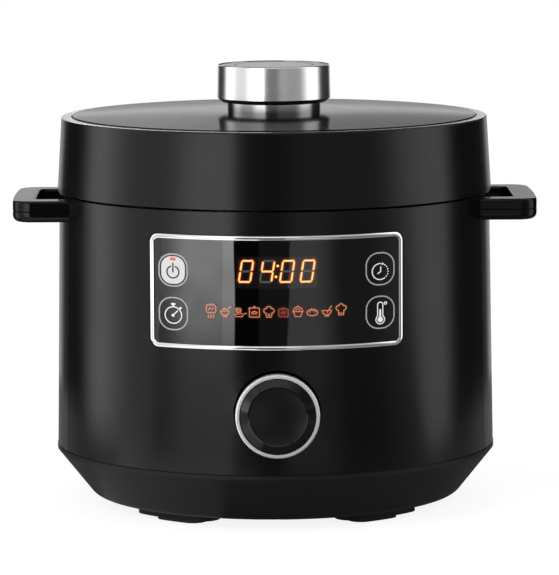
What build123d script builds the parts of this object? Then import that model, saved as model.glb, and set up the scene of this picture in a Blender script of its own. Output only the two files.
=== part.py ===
from build123d import *
from math import cos, pi, radians, sin, sqrt
import os

# Electric pressure cooker of about five litres, as separate pieces.
# Millimetres and degrees. +Z is up, the front faces -Y, the origin is on the table under the body's axis.

# Body shells
SEAM_HEIGHT = 42.7
BODY_HEIGHT = 179.9
BODY_BOTTOM_RADIUS = 156.9
BODY_TAPER = 3.0
SHELL_WALL = 2.5
SHELL_JOINT_GAP = 0.5

# Base pan
BASE_LIFT = 6.6
BASE_WALL = 3.0
BASE_CONE_WIDTH = 25.5
BASE_EDGE_ROUND = 7.3
BASE_BAND_STEP = 0.4
BASE_BAND_HEIGHT = 3.5
BASE_LIP_HEIGHT = 5.0
BASE_LIP_CLEARANCE = 0.3
SEAM_GROOVE_HEIGHT = 0.7
SEAM_GROOVE_DEPTH = 1.2
VENT_COUNT = 18
VENT_INNER_RADIUS = 34.0
VENT_LENGTH = 22.0
VENT_WIDTH = 3.2

# Feet
FOOT_INSET = 18.9
FOOT_ANGLE = 38.5
FOOT_SPAN = 21.8
FOOT_WIDTH = 24.0
PAD_ANGLE = 36.5
PAD_SPAN = 10.3
PAD_MARGIN = 3.0
PAD_THICKNESS = 3.4
PAD_RECESS = 1.0

# Screws, all of one size
SCREW_RADIUS = 1.8
SCREW_HEAD_RADIUS = 3.4
SCREW_HEAD_HEIGHT = 2.2
SCREW_HOLE_CLEARANCE = 0.2

# Inner pot
POT_JACKET = 50.9
POT_WALL = 1.6
POT_FLOOR = 2.5
POT_HEIGHT = 145.4
POT_CORNER = 32.0
POT_RIM_WIDTH = 6.4
POT_RIM_THICKNESS = 2.0
POT_RIM_DROP = 15.3
POT_SEAT_GAP = 0.1

# Heating well
WELL_GAP = 2.9
WELL_WALL = 1.2
WELL_CORNER = 18.0
STAND_COUNT = 4
STAND_ANGLE = 45.0
STAND_RADIUS = 6.0
STAND_INSET = 4.5
STAND_SCREW_GRIP = 20.0

# Heater and temperature sensor
PLATE_MARGIN = 10.5
PLATE_THICKNESS = 11.0
PLATE_SEAT = 10.0
PLATE_GAP = 0.3
PLATE_EDGE_ROUND = 3.0
ELEMENT_INSET = 26.0
ELEMENT_TUBE_RADIUS = 4.0
ELEMENT_SINK = 2.5
ELEMENT_ARC = 310.0
ELEMENT_BEND = 8.0
ELEMENT_LEG = 14.0
SENSOR_RADIUS = 12.0
SENSOR_WALL = 2.5
SENSOR_HEIGHT = 12.0
SENSOR_EDGE_ROUND = 1.0
SENSOR_HOLE_CLEARANCE = 5.0
SPRING_RADIUS = 7.4
SPRING_WIRE_RADIUS = 0.6
SPRING_TURNS = 6
SPRING_LENGTH = 23.0
SPRING_SAMPLES = 24
HOLDER_PIN_RADIUS = 5.0
HOLDER_PIN_LENGTH = 12.0
HOLDER_FLANGE_RADIUS = 24.0
HOLDER_FLANGE_THICKNESS = 3.0

# Lock: lugs of the lid turn under lugs of the body
LUG_COUNT = 6
LUG_ANGLE = 24.0
LUG_REACH = 6.3
LUG_THICKNESS = 4.0
LUG_PLAY = 0.8
LOCK_CLEARANCE = 1.2
LOCK_RING_WALL = 3.3
LOCK_RING_LIFT = 3.1
LOCK_LIP_REACH = 2.6
LOCK_LIP_THICKNESS = 2.0
LOCK_LIP_PLAY = 1.0
LOCK_FLANGE_WIDTH = 11.0
LOCK_FLANGE_THICKNESS = 3.0
COLLAR_WALL = 2.0
COLLAR_LUG_THICKNESS = 3.5
COLLAR_LUG_GAP = 1.5

# Top collar
TOP_COLLAR_DROP = 0.6
TOP_COLLAR_THICKNESS = 2.4
TOP_COLLAR_LEG = 2.4
TOP_COLLAR_CLEARANCE = 0.4

# Lid shell
LID_GAP = 1.8
LID_HEIGHT = 52.4
LID_OVERHANG = 1.3
LID_TAPER = 3.2
LID_WALL = 2.6
LID_EDGE_ROUND = 1.2
RIM_WIDTH = 7.0
LEDGE_WIDTH = 6.5
LEDGE_THICKNESS = 2.6
DISC_THICKNESS = 2.4
DISC_GAP = 0.8
DISC_PROUD = 0.7
DISC_RISE = 3.2
DISC_FLAT_MARGIN = 3.0

# Lid frame
LID_BOSS_COUNT = 6
LID_BOSS_RADIUS = 4.0
LID_BOSS_LENGTH = 9.0
LID_BOSS_SETBACK = 5.9
FRAME_THICKNESS = 3.0
FRAME_EDGE_GAP = 1.5
FRAME_HUB_RADIUS = 24.0
FRAME_WINDOW_WIDTH = 30.0
FRAME_WINDOW_CORNER = 7.5
FRAME_WINDOW_LENGTH = 40.0
FRAME_RIM_WIDTH = 16.9
POST_COUNT = 3
POST_RADIUS = 6.5
POST_INSET = 16.0
POST_ANGLE = 75.0
LID_SCREW_GRIP = 8.0

# Inner lid and gasket
GASKET_GAP = 0.3
GASKET_HEIGHT = 6.2
GASKET_WIDTH = 11.0
GASKET_LIP = 1.8
GASKET_BACK = 3.6
INNER_LID_WALL = 1.5
INNER_LID_RISE = 13.5
INNER_LID_FLANGE = 15.8
INNER_LID_DRAFT = 3.0
INNER_LID_ROUND = 5.0
INNER_LID_CLEARANCE = 0.9

# Driver plate and spindle
DRIVER_CLEARANCE = 6.4
DRIVER_THICKNESS = 2.5
DRIVER_SPOKE_COUNT = 3
DRIVER_SPOKE_WIDTH = 16.0
DRIVER_SPOKE_ANGLE = 30.0
DRIVER_RIM_MARGIN = 1.5
DRIVER_HUB_RADIUS = 12.0
DRIVER_HUB_HEIGHT = 8.0
SPINDLE_RADIUS = 6.0
SPINDLE_NUT_RADIUS = 10.0
SPINDLE_NUT_HEIGHT = 3.0
SPINDLE_FIT = 0.06
BUSH_WALL = 4.0
BUSH_LENGTH = 16.0
BUSH_GAP = 1.0

# Knob
KNOB_RADIUS = 40.0
KNOB_DRAFT = 0.5
KNOB_HEIGHT = 26.6
KNOB_WALL = 1.6
KNOB_FOOT_HEIGHT = 3.0
KNOB_FOOT_TAPER = 3.6
KNOB_CORE_WALL = 3.0
KNOB_SOCKET_WALL = 6.0
KNOB_SOCKET_ROOF = 6.0
KNOB_CAP_THICKNESS = 2.4
KNOB_CAP_DROP = 0.4
KNOB_EDGE_ROUND = 0.8
KNOB_GROOVE_RADIUS = 27.5
KNOB_GROOVE_WIDTH = 0.9
KNOB_GROOVE_DEPTH = 0.7
KNOB_COLLAR_RADIUS = 33.5
KNOB_COLLAR_HEIGHT = 5.4
KNOB_COLLAR_WALL = 7.5
KNOB_RUNNING_GAP = 0.4

# Steam release valve, its pipe and filter
VALVE_INSET = 6.5
VALVE_RADIUS = 14.5
VALVE_HEIGHT = 8.0
VALVE_EDGE_ROUND = 2.0
VALVE_GRIP_HEIGHT = 7.0
VALVE_GRIP_WIDTH = 7.0
VALVE_GAP = 0.4
VALVE_SEAT_WIDTH = 3.5
VALVE_SEAT_HEIGHT = 2.4
PIPE_RADIUS = 5.0
PIPE_WALL = 2.0
PIPE_LENGTH_ABOVE_SEAT = 2.2
PIPE_FLANGE_RADIUS = 8.0
PIPE_FLANGE_THICKNESS = 1.6
PIPE_CLEARANCE = 0.4
FILTER_RADIUS = 13.0
FILTER_WALL = 1.2
FILTER_HEIGHT = 12.0
FILTER_SLOT_COUNT = 8
FILTER_SLOT_WIDTH = 2.0

# Float valve
FLOAT_ANGLE = 18.0
FLOAT_RADIUS = 2.4
FLOAT_HEAD_RADIUS = 4.8
FLOAT_HEAD_HEIGHT = 2.0
FLOAT_DROP = 6.3
FLOAT_FIT = 0.08
FLOAT_HOLE_CLEARANCE = 0.5
FLOAT_GUIDE_WALL = 3.0
FLOAT_GUIDE_LENGTH = 8.0
FLOAT_TOP_DROP = 0.3

# Front panel
PANEL_FREE_SHARE = 0.357
PANEL_HEIGHT = 77.8
PANEL_HALF_WIDTH = 86.6
PANEL_CORNER = 6.0
PANEL_FRAME_WIDTH = 2.8
PANEL_FRAME_PROUD = 1.6
PANEL_GAP = 0.5
WINDOW_PROUD = 0.8
WINDOW_FIT = 0.1
CARRIER_OVERLAP = 4.0
CARRIER_WALL = 2.0
CARRIER_POST_RADIUS = 3.0
CARRIER_POST_X = 42.0
CARRIER_POST_MARGIN = 8.0

# Buttons
BUTTON_X = 70.7
BUTTON_WIDTH = 20.2
BUTTON_HEIGHT = 22.8
BUTTON_CORNER = 9.0
BUTTON_UPPER = 53.3
BUTTON_LOWER = 23.4
BUTTON_RING_WIDTH = 0.9
BUTTON_RING_PROUD = 0.2
BUTTON_CLEARANCE = 0.25
BUTTON_PROUD = 1.0
BUTTON_THICKNESS = 2.4
BUTTON_STEM_RADIUS = 3.0
BUTTON_STEM_CLEARANCE = 0.25
BUTTON_COLLAR_WIDTH = 1.4
BUTTON_COLLAR_THICKNESS = 1.4
SWITCH_HEIGHT = 3.0
SWITCH_SIDE = 6.0
SWITCH_GAP = 1.2

# Control board and display
BOARD_SETBACK = 30.5
BOARD_THICKNESS = 1.6
BOARD_HALF_WIDTH = 78.0
BOARD_MARGIN = 3.0
DISPLAY_LOW = 40.5
DISPLAY_WIDTH = 59.0
DISPLAY_HEIGHT = 25.0
DISPLAY_DEPTH = 19.0
DISPLAY_CLEARANCE = 0.5

# Dial
DIAL_FREE_SHARE = 0.23
DIAL_RADIUS = 28.8
DIAL_PROUD = 12.8
DIAL_DEPTH = 26.5
DIAL_GAP = 1.2
DIAL_RING_WIDTH = 3.1
DIAL_RING_DEPTH = 5.7
DIAL_RING_SETBACK = 0.8
DIAL_SIDE_STEP = 0.3
DIAL_SHOULDER_DROP = 1.6
DIAL_DISH_RADIUS = 19.7
DIAL_DISH_LIP = 0.8
DIAL_DISH_DEPTH = 3.0
DIAL_FACE_WALL = 4.0
DIAL_SIDE_WALL = 2.5
DIAL_HUB_RADIUS = 7.0
DIAL_PUSH_ROOM = 2.0
DIAL_HOUSING_WALL = 2.2
ENCODER_SIDE = 15.0
ENCODER_DEPTH = 8.0
ENCODER_BUSH_WALL = 1.6
ENCODER_BUSH_LENGTH = 6.0
SLIDER_WALL = 1.4
SLIDER_LENGTH = 8.5
SHAFT_RADIUS = 3.0
SHAFT_FIT = 0.06
SHAFT_GRIP = 12.0

# Handles
HANDLE_TOP_DROP = 1.8
HANDLE_HEIGHT = 15.4
HANDLE_SPLIT = 7.7
HANDLE_HALF_WIDTH = 52.0
HANDLE_REACH = 32.4
HANDLE_BOW = 1.6
HANDLE_CORNER = 14.0
HANDLE_GRIP_WIDTH = 16.7
HANDLE_HOLE_HALF_WIDTH = 36.0
HANDLE_HOLE_CORNER = 5.0
HANDLE_TOP_ROUND = 1.8
HANDLE_BOTTOM_ROUND = 4.5
HANDLE_SPLIT_CHAMFER = 0.4
HANDLE_SCREW_OFFSET = 44.0
HANDLE_SCREW_GRIP = 9.0
HANDLE_SCREW_CLEARANCE = 0.4
HANDLE_TRIM_MARGIN = 1.0

# Mains inlet
INLET_RISE = 25.65
INLET_FLANGE_WIDTH = 48.0
INLET_FLANGE_HEIGHT = 25.0
INLET_FLANGE_PROUD = 2.0
INLET_FLANGE_CORNER = 4.0
INLET_BODY_MARGIN = 1.8
INLET_DEPTH = 20.0
INLET_MOUTH_WIDTH = 24.4
INLET_MOUTH_HEIGHT = 16.6
INLET_MOUTH_DEPTH = 15.5
INLET_MOUTH_CHAMFER = 4.5
INLET_FIT = 0.3
PIN_WIDTH = 2.0
PIN_HEIGHT = 4.0
PIN_LENGTH = 9.5
PIN_TAIL = 8.0
PIN_SPACING = 7.0
PIN_EARTH_RISE = 2.0
PIN_LIVE_DROP = 2.0

# Power board
POWER_BOARD_CLEARANCE = 8.2
POWER_BOARD_DEPTH = 52.0
POWER_BOARD_FRONT = 34.0
POWER_BOARD_LIFT = 7.0
POWER_BOARD_INSET = 6.0
STANDOFF_RADIUS = 3.5
HEATER_AIR_GAP = 6.0
PART_SIDE = 18.0

# Condensate cup and bracket
CUP_DEPTH = 15.1
CUP_WIDTH = 60.0
CUP_TOP_DROP = 25.0
CUP_HEIGHT = 42.0
CUP_WALL = 1.8
CUP_STANDOFF = 2.0
CUP_LIP_WIDTH = 4.5
CUP_LIP_THICKNESS = 2.2
CUP_LIP_SETBACK = 4.0
CUP_RAIL_GAP = 0.4
RAIL_THICKNESS = 2.2
RAIL_MARGIN = 1.6
BRACKET_WALL = 1.6
SPOUT_WIDTH = 28.0
SPOUT_HEIGHT = 7.0
SPOUT_SETBACK = 7.0
SPOUT_WALL = 2.0
SPOUT_LIFT = 1.5

# Heights and radii that follow from the driving dimensions
BODY_TOP = SEAM_HEIGHT + BODY_HEIGHT
BODY_TOP_RADIUS = BODY_BOTTOM_RADIUS - BODY_TAPER
BASE_FLOOR = BASE_LIFT + BASE_WALL
BASE_FLOOR_RADIUS = BODY_BOTTOM_RADIUS - BASE_CONE_WIDTH
FOOT_RING_RADIUS = BASE_FLOOR_RADIUS - FOOT_INSET
REACH = 2 * BODY_BOTTOM_RADIUS
POT_TOP = BODY_TOP - POT_RIM_DROP
POT_SEAT = POT_TOP - POT_RIM_THICKNESS
POT_BOTTOM = POT_TOP - POT_HEIGHT
POT_RADIUS = BODY_BOTTOM_RADIUS - POT_JACKET
POT_OUTER = POT_RADIUS + POT_WALL
POT_RIM = POT_OUTER + POT_RIM_WIDTH
WELL_TOP = POT_SEAT - POT_SEAT_GAP
WELL_RADIUS = POT_OUTER + WELL_GAP
PLATE_RADIUS = WELL_RADIUS - WELL_CORNER - PLATE_MARGIN
STAND_RING_RADIUS = WELL_RADIUS - WELL_CORNER - STAND_INSET
ELEMENT_RADIUS = PLATE_RADIUS - ELEMENT_INSET
PLATE_TOP = POT_BOTTOM - PLATE_GAP
WELL_FLOOR = PLATE_TOP - PLATE_THICKNESS
ELEMENT_CENTRE = WELL_FLOOR + ELEMENT_SINK - ELEMENT_TUBE_RADIUS
SENSOR_CEILING = PLATE_TOP - SENSOR_WALL
SPRING_SEAT = SENSOR_CEILING - SPRING_LENGTH
LOCK_BORE = POT_RIM + LOCK_CLEARANCE
LOCK_OUTER = LOCK_BORE + LOCK_RING_WALL
LUG_RADIUS = LOCK_OUTER + LUG_REACH
LOCK_LOW = POT_TOP + LOCK_RING_LIFT
COLLAR_BORE = LUG_RADIUS + LOCK_CLEARANCE
COLLAR_OUTER = COLLAR_BORE + COLLAR_WALL
COLLAR_LUG_LOW = LOCK_LOW + LUG_THICKNESS + LUG_PLAY
TOP_COLLAR_BORE = COLLAR_OUTER + TOP_COLLAR_CLEARANCE
WELL_FLANGE_RADIUS = TOP_COLLAR_BORE + TOP_COLLAR_LEG
LID_BOTTOM_RADIUS = BODY_TOP_RADIUS + LID_OVERHANG
LID_TOP_RADIUS = LID_BOTTOM_RADIUS - LID_TAPER
LID_EDGE = BODY_TOP + LID_GAP
LID_TOP = LID_EDGE + LID_HEIGHT
LEDGE_TOP = LID_TOP + DISC_PROUD - DISC_THICKNESS
LEDGE_LOW = LEDGE_TOP - LEDGE_THICKNESS
DISC_RADIUS = LID_TOP_RADIUS - RIM_WIDTH - DISC_GAP
DISC_TOP = LID_TOP + DISC_PROUD + DISC_RISE
DISC_FLAT_RADIUS = KNOB_COLLAR_RADIUS + DISC_FLAT_MARGIN
FRAME_TOP = LEDGE_LOW - LID_BOSS_LENGTH
FRAME_LOW = FRAME_TOP - FRAME_THICKNESS
GASKET_LOW = POT_TOP + GASKET_GAP
INNER_LID_SEAT = GASKET_LOW + GASKET_HEIGHT
INNER_LID_RADIUS = LOCK_BORE - INNER_LID_CLEARANCE
INNER_LID_ROOF = INNER_LID_SEAT + INNER_LID_RISE
INNER_LID_TOP = INNER_LID_ROOF + INNER_LID_WALL
INNER_LID_ROOF_RADIUS = INNER_LID_RADIUS - INNER_LID_FLANGE - INNER_LID_DRAFT
VALVE_RING_RADIUS = INNER_LID_ROOF_RADIUS - FILTER_RADIUS - VALVE_INSET
POST_RING_RADIUS = VALVE_RING_RADIUS - POST_INSET
DRIVER_LOW = INNER_LID_TOP + DRIVER_CLEARANCE
DRIVER_TOP = DRIVER_LOW + DRIVER_THICKNESS
BUSH_LOW = DRIVER_TOP + DRIVER_HUB_HEIGHT + BUSH_GAP
BUSH_RADIUS = SPINDLE_RADIUS + SPINDLE_FIT + BUSH_WALL
COLLAR_TOP = DISC_TOP + KNOB_COLLAR_HEIGHT
KNOB_LOW = COLLAR_TOP + KNOB_RUNNING_GAP
KNOB_TOP = KNOB_LOW + KNOB_HEIGHT
KNOB_SLEEVE_LOW = KNOB_LOW + KNOB_FOOT_HEIGHT
KNOB_CORE_TOP = KNOB_TOP - KNOB_CAP_DROP - KNOB_CAP_THICKNESS
KNOB_CORE_RADIUS = KNOB_RADIUS - KNOB_WALL
SPINDLE_TOP = KNOB_CORE_TOP - KNOB_SOCKET_ROOF
DIAL_HOUSING_RADIUS = DIAL_RADIUS + DIAL_GAP + DIAL_HOUSING_WALL
FRONT_LOW = SEAM_HEIGHT + BASE_LIP_HEIGHT
FRONT_HIGH = BODY_TOP - TOP_COLLAR_DROP - TOP_COLLAR_THICKNESS
FRONT_TAKEN = 2 * DIAL_HOUSING_RADIUS + PANEL_HEIGHT + 2 * CARRIER_OVERLAP
FRONT_FREE = FRONT_HIGH - FRONT_LOW - FRONT_TAKEN
DIAL_HEIGHT = FRONT_LOW + DIAL_FREE_SHARE * FRONT_FREE + DIAL_HOUSING_RADIUS
PANEL_LOW = DIAL_HEIGHT + DIAL_HOUSING_RADIUS + PANEL_FREE_SHARE * FRONT_FREE + CARRIER_OVERLAP
PANEL_MIDDLE = PANEL_LOW + PANEL_HEIGHT / 2
BUTTON_UPPER_HEIGHT = PANEL_LOW + BUTTON_UPPER
BUTTON_LOWER_HEIGHT = PANEL_LOW + BUTTON_LOWER
HANDLE_END = BODY_TOP_RADIUS + HANDLE_REACH
HANDLE_HOLE_END = HANDLE_END - HANDLE_GRIP_WIDTH
HANDLE_TOP = BODY_TOP - HANDLE_TOP_DROP
HANDLE_LOW = HANDLE_TOP - HANDLE_HEIGHT
HANDLE_JOINT = HANDLE_LOW + HANDLE_SPLIT
SHELL_JOINT_Y = -HANDLE_HALF_WIDTH - SHELL_JOINT_GAP / 2
INLET_HEIGHT = SEAM_HEIGHT + INLET_RISE
CUP_REACH = BODY_TOP_RADIUS + CUP_DEPTH
CUP_TOP = BODY_TOP - CUP_TOP_DROP
CUP_LOW = CUP_TOP - CUP_HEIGHT
FOOT_LOW = PAD_THICKNESS - PAD_RECESS


# Shared shapes
def body_radius(height):
    """Outside radius of the tapered body at a height."""
    share = (height - SEAM_HEIGHT) / BODY_HEIGHT
    return BODY_BOTTOM_RADIUS + share * (BODY_TOP_RADIUS - BODY_BOTTOM_RADIUS)


def profile(points, radii=None):
    """Upright face from (radius, height) corners, each rounded by its radius where radii are given."""
    corners = [Vector(r, 0, z) for r, z in points]
    if radii is None:
        return make_face(Polyline(*corners, close=True).edges())
    return make_face(FilletPolyline(*corners, radius=radii, close=True).edges())


def turned(points, radii=None, arc=360.0, start=0.0):
    """Solid turned about the Z axis from an outline."""
    return Rot(0, 0, start) * revolve(profile(points, radii), Axis.Z, revolution_arc=arc)


def rod(radius, low, high, x=0.0, y=0.0):
    """Upright cylinder."""
    upright = (Align.CENTER, Align.CENTER, Align.MIN)
    return Pos(x, y, low) * Cylinder(radius, high - low, align=upright)


def tube(outer, inner, low, high, x=0.0, y=0.0):
    """Upright pipe."""
    return rod(outer, low, high, x, y) - rod(inner, low, high, x, y)


def rod_x(radius, start, end, y, z):
    """Cylinder along X."""
    return Pos((start + end) / 2, y, z) * Rot(0, 90, 0) * Cylinder(radius, abs(end - start))


def rod_y(radius, start, end, x, z):
    """Cylinder along Y."""
    return Pos(x, (start + end) / 2, z) * Rot(90, 0, 0) * Cylinder(radius, abs(end - start))


def block(x0, x1, y0, y1, z0, z1):
    """Box between two corners."""
    return Pos((x0 + x1) / 2, (y0 + y1) / 2, (z0 + z1) / 2) * Box(x1 - x0, y1 - y0, z1 - z0)


def slab_y(sketch, start, end):
    """A front-view sketch drawn in X and Z, made solid from Y start to Y end."""
    return Pos(0, end, 0) * extrude(Plane.XZ * sketch, amount=end - start)


def wall_core(offset, low, high):
    """Everything inside the tapered body wall moved out by an offset."""
    return turned(
        [(0, low), (body_radius(low) + offset, low), (body_radius(high) + offset, high), (0, high)]
    )


def wall_band(inner, outer, low, high):
    """Ring parallel to the tapered body wall, between two offsets from its outside."""
    return turned(
        [
            (body_radius(low) + inner, low),
            (body_radius(low) + outer, low),
            (body_radius(high) + outer, high),
            (body_radius(high) + inner, high),
        ]
    )


def around(count, radius, start=0.0):
    """Evenly spaced places on a circle."""
    angles = [radians(start + 360.0 * i / count) for i in range(count)]
    return [(radius * cos(a), radius * sin(a)) for a in angles]


def group(solids):
    """Separate solids that share one piece."""
    return Compound([solid for part in solids for solid in part.solids()])


# Base
def foot_slots(angle, span, width):
    """Rounded arc outlines of the four feet, alike in each quarter."""
    slots = []
    for turn in (90.0 - angle, 90.0 + angle, 270.0 - angle, 270.0 + angle):
        line = CenterArc((0, 0), FOOT_RING_RADIUS, turn - span / 2, span)
        slots.append(SlotArc(line, width))
    return slots


def pad_outlines():
    """Outlines of the rubber pads, each nearer the front or rear end of its foot."""
    return foot_slots(PAD_ANGLE, PAD_SPAN, FOOT_WIDTH - 2 * PAD_MARGIN)


def stand_places():
    """X and Y of the tubes under the heating well."""
    return around(STAND_COUNT, STAND_RING_RADIUS, STAND_ANGLE)


def base_pan():
    """Bowl that closes the body below, with foot bosses, vents and a lip inside the shells."""
    band = BODY_BOTTOM_RADIUS + BASE_BAND_STEP
    lip = BODY_BOTTOM_RADIUS - SHELL_WALL - BASE_LIP_CLEARANCE
    crease = SEAM_HEIGHT - BASE_BAND_HEIGHT
    pan = turned(
        [
            (0, BASE_LIFT),
            (BASE_FLOOR_RADIUS, BASE_LIFT),
            (band, crease),
            (band, SEAM_HEIGHT - SEAM_GROOVE_HEIGHT),
            (band - SEAM_GROOVE_DEPTH, SEAM_HEIGHT - SEAM_GROOVE_HEIGHT),
            (band - SEAM_GROOVE_DEPTH, SEAM_HEIGHT),
            (lip, SEAM_HEIGHT),
            (lip, SEAM_HEIGHT + BASE_LIP_HEIGHT),
            (lip - BASE_WALL, SEAM_HEIGHT + BASE_LIP_HEIGHT),
            (lip - BASE_WALL, crease),
            (BASE_FLOOR_RADIUS - BASE_WALL, BASE_FLOOR),
            (0, BASE_FLOOR),
        ],
        [0, BASE_EDGE_ROUND, 0, 0, 0, 0, 0, 0, 0, 0, 0, 0],
    )
    for outline in foot_slots(FOOT_ANGLE, FOOT_SPAN, FOOT_WIDTH):
        pan += Pos(0, 0, FOOT_LOW) * extrude(outline, amount=BASE_FLOOR - FOOT_LOW)
    for outline in pad_outlines():
        pan -= Pos(0, 0, FOOT_LOW) * extrude(outline, amount=PAD_RECESS)
    slot = SlotOverall(VENT_LENGTH, VENT_WIDTH)
    for i in range(VENT_COUNT):
        place = Rot(0, 0, 360.0 * i / VENT_COUNT) * Pos(VENT_INNER_RADIUS + VENT_LENGTH / 2, 0, 0)
        pan -= place * extrude(slot, amount=BASE_FLOOR)
    for x, y in stand_places():
        pan -= rod(SCREW_RADIUS + SCREW_HOLE_CLEARANCE, 0, BASE_FLOOR, x, y)
    return pan


def foot_pads():
    """Rubber pads let into the foot bosses."""
    return group([extrude(outline, amount=PAD_THICKNESS) for outline in pad_outlines()])


def well_stands():
    """Tubes that carry the heating well on the base pan."""
    top = WELL_FLOOR - WELL_WALL
    spots = stand_places()
    return group([tube(STAND_RADIUS, SCREW_RADIUS, BASE_FLOOR, top, x, y) for x, y in spots])


def screw(tip, x, y, seat):
    """Upright pan-head screw with its head under the seat."""
    head = rod(SCREW_HEAD_RADIUS, seat - SCREW_HEAD_HEIGHT, seat, x, y)
    return head + rod(SCREW_RADIUS, seat, tip, x, y)


def base_screws():
    """Screws through the pan into the stands."""
    tip = BASE_FLOOR + STAND_SCREW_GRIP
    return group([screw(tip, x, y, BASE_LIFT) for x, y in stand_places()])


# Body shells
def panel_outline(grow, corner=PANEL_CORNER):
    """Front-view outline of the control panel, grown by a margin."""
    width = 2 * (PANEL_HALF_WIDTH + grow)
    return Pos(0, PANEL_MIDDLE) * RectangleRounded(width, PANEL_HEIGHT + 2 * grow, corner + grow)


def handle_screw_places():
    """Where the cross screws hold the handles: side, Y and height."""
    roof = BODY_TOP - TOP_COLLAR_DROP - TOP_COLLAR_THICKNESS
    height = roof - SCREW_HEAD_RADIUS - HANDLE_SCREW_CLEARANCE
    return [(side, y, height) for side in (-1, 1) for y in (-HANDLE_SCREW_OFFSET, HANDLE_SCREW_OFFSET)]


def front_shell():
    """Front half of the body wall, open for the panel and the dial."""
    shell = wall_band(-SHELL_WALL, 0, SEAM_HEIGHT, BODY_TOP)
    edge = SHELL_JOINT_Y - SHELL_JOINT_GAP / 2
    shell &= block(-REACH, REACH, -REACH, edge, 0, LID_TOP)
    shell -= slab_y(panel_outline(PANEL_GAP), -REACH, 0)
    shell -= rod_y(DIAL_RADIUS + DIAL_GAP, -REACH, 0, 0, DIAL_HEIGHT)
    return shell


def inlet_body_outline(grow):
    """Front-view outline of the mains inlet's body."""
    width = INLET_MOUTH_WIDTH + 2 * (INLET_BODY_MARGIN + grow)
    height = INLET_MOUTH_HEIGHT + 2 * (INLET_BODY_MARGIN + grow)
    return Pos(0, INLET_HEIGHT) * RectangleRounded(width, height, INLET_BODY_MARGIN)


def rear_shell():
    """Rear part of the body wall, with the inlet, drain and handle screw holes."""
    shell = wall_band(-SHELL_WALL, 0, SEAM_HEIGHT, BODY_TOP)
    edge = SHELL_JOINT_Y + SHELL_JOINT_GAP / 2
    shell &= block(-REACH, REACH, edge, REACH, 0, LID_TOP)
    shell -= slab_y(inlet_body_outline(INLET_FIT), 0, REACH)
    drain = SPOUT_WIDTH / 2 - SPOUT_WALL
    drain_low = CUP_TOP + SPOUT_LIFT
    drain_top = drain_low + SPOUT_HEIGHT - SPOUT_WALL
    shell -= block(-drain, drain, 0, REACH, drain_low, drain_top)
    for side, y, height in handle_screw_places():
        shell -= rod_x(SCREW_RADIUS + SCREW_HOLE_CLEARANCE, 0, side * REACH, y, height)
    return shell


def top_collar():
    """Ring that closes the body between the shells and the lock collar."""
    high = BODY_TOP - TOP_COLLAR_DROP
    low = high - TOP_COLLAR_THICKNESS
    outer = body_radius(BODY_TOP) - SHELL_WALL
    return turned(
        [
            (TOP_COLLAR_BORE, WELL_TOP),
            (TOP_COLLAR_BORE + TOP_COLLAR_LEG, WELL_TOP),
            (TOP_COLLAR_BORE + TOP_COLLAR_LEG, low),
            (outer, low),
            (outer, high),
            (TOP_COLLAR_BORE, high),
        ]
    )


def lug_ring(inner, outer, low, high, start):
    """Evenly spaced lugs between two radii."""
    pitch = 360.0 / LUG_COUNT
    section = [(inner, low), (outer, low), (outer, high), (inner, high)]
    first = start - LUG_ANGLE / 2
    return [turned(section, arc=LUG_ANGLE, start=first + i * pitch) for i in range(LUG_COUNT)]


def lock_collar():
    """Steel ring on the well's flange, with lugs that point inwards."""
    high = COLLAR_LUG_LOW + COLLAR_LUG_THICKNESS
    ring = turned(
        [(COLLAR_BORE, WELL_TOP), (COLLAR_OUTER, WELL_TOP), (COLLAR_OUTER, high), (COLLAR_BORE, high)]
    )
    tips = LOCK_OUTER + COLLAR_LUG_GAP
    for lug in lug_ring(tips, COLLAR_OUTER, COLLAR_LUG_LOW, high, 0.0):
        ring += lug
    return ring


# Heating
def inner_well():
    """Sheet bowl that holds the pot and hangs the heater, with a flange under the collars."""
    hole = PLATE_RADIUS - PLATE_SEAT
    outer = WELL_RADIUS + WELL_WALL
    return turned(
        [
            (WELL_FLANGE_RADIUS, WELL_TOP),
            (WELL_RADIUS, WELL_TOP),
            (WELL_RADIUS, WELL_FLOOR),
            (hole, WELL_FLOOR),
            (hole, WELL_FLOOR - WELL_WALL),
            (outer, WELL_FLOOR - WELL_WALL),
            (outer, WELL_TOP - WELL_WALL),
            (WELL_FLANGE_RADIUS, WELL_TOP - WELL_WALL),
        ],
        [0, 0, WELL_CORNER, 0, 0, WELL_CORNER + WELL_WALL, 0, 0],
    )


def element_end(angle, sense):
    """Foot, top of the leg, middle and end of the bend at one end of the heater, and where its ring starts."""
    turn = radians(angle)
    join = Vector(ELEMENT_RADIUS * cos(turn), ELEMENT_RADIUS * sin(turn), ELEMENT_CENTRE)
    outward = Vector(sin(turn), -cos(turn), 0) * sense
    centre = join - Vector(0, 0, ELEMENT_BEND)
    knee = centre + outward * ELEMENT_BEND
    middle = centre + (outward + Vector(0, 0, 1)) * (ELEMENT_BEND / sqrt(2))
    foot = knee - Vector(0, 0, ELEMENT_LEG - ELEMENT_BEND)
    return foot, knee, middle, join


def heating_element():
    """Tubular heater bent to an open ring, with two ends bent down."""
    start = -90.0 + (360.0 - ELEMENT_ARC) / 2
    foot, knee, bend, join = element_end(start, 1)
    last_foot, last_knee, last_bend, last_join = element_end(start + ELEMENT_ARC, -1)
    far_side = Vector(0, ELEMENT_RADIUS, ELEMENT_CENTRE)
    path = Wire(
        [
            Line(foot, knee),
            ThreePointArc(knee, bend, join),
            ThreePointArc(join, far_side, last_join),
            ThreePointArc(last_join, last_bend, last_knee),
            Line(last_knee, last_foot),
        ]
    )
    section = Plane(origin=foot, z_dir=(0, 0, 1)) * Circle(ELEMENT_TUBE_RADIUS)
    return sweep(section, path=path)


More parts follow.
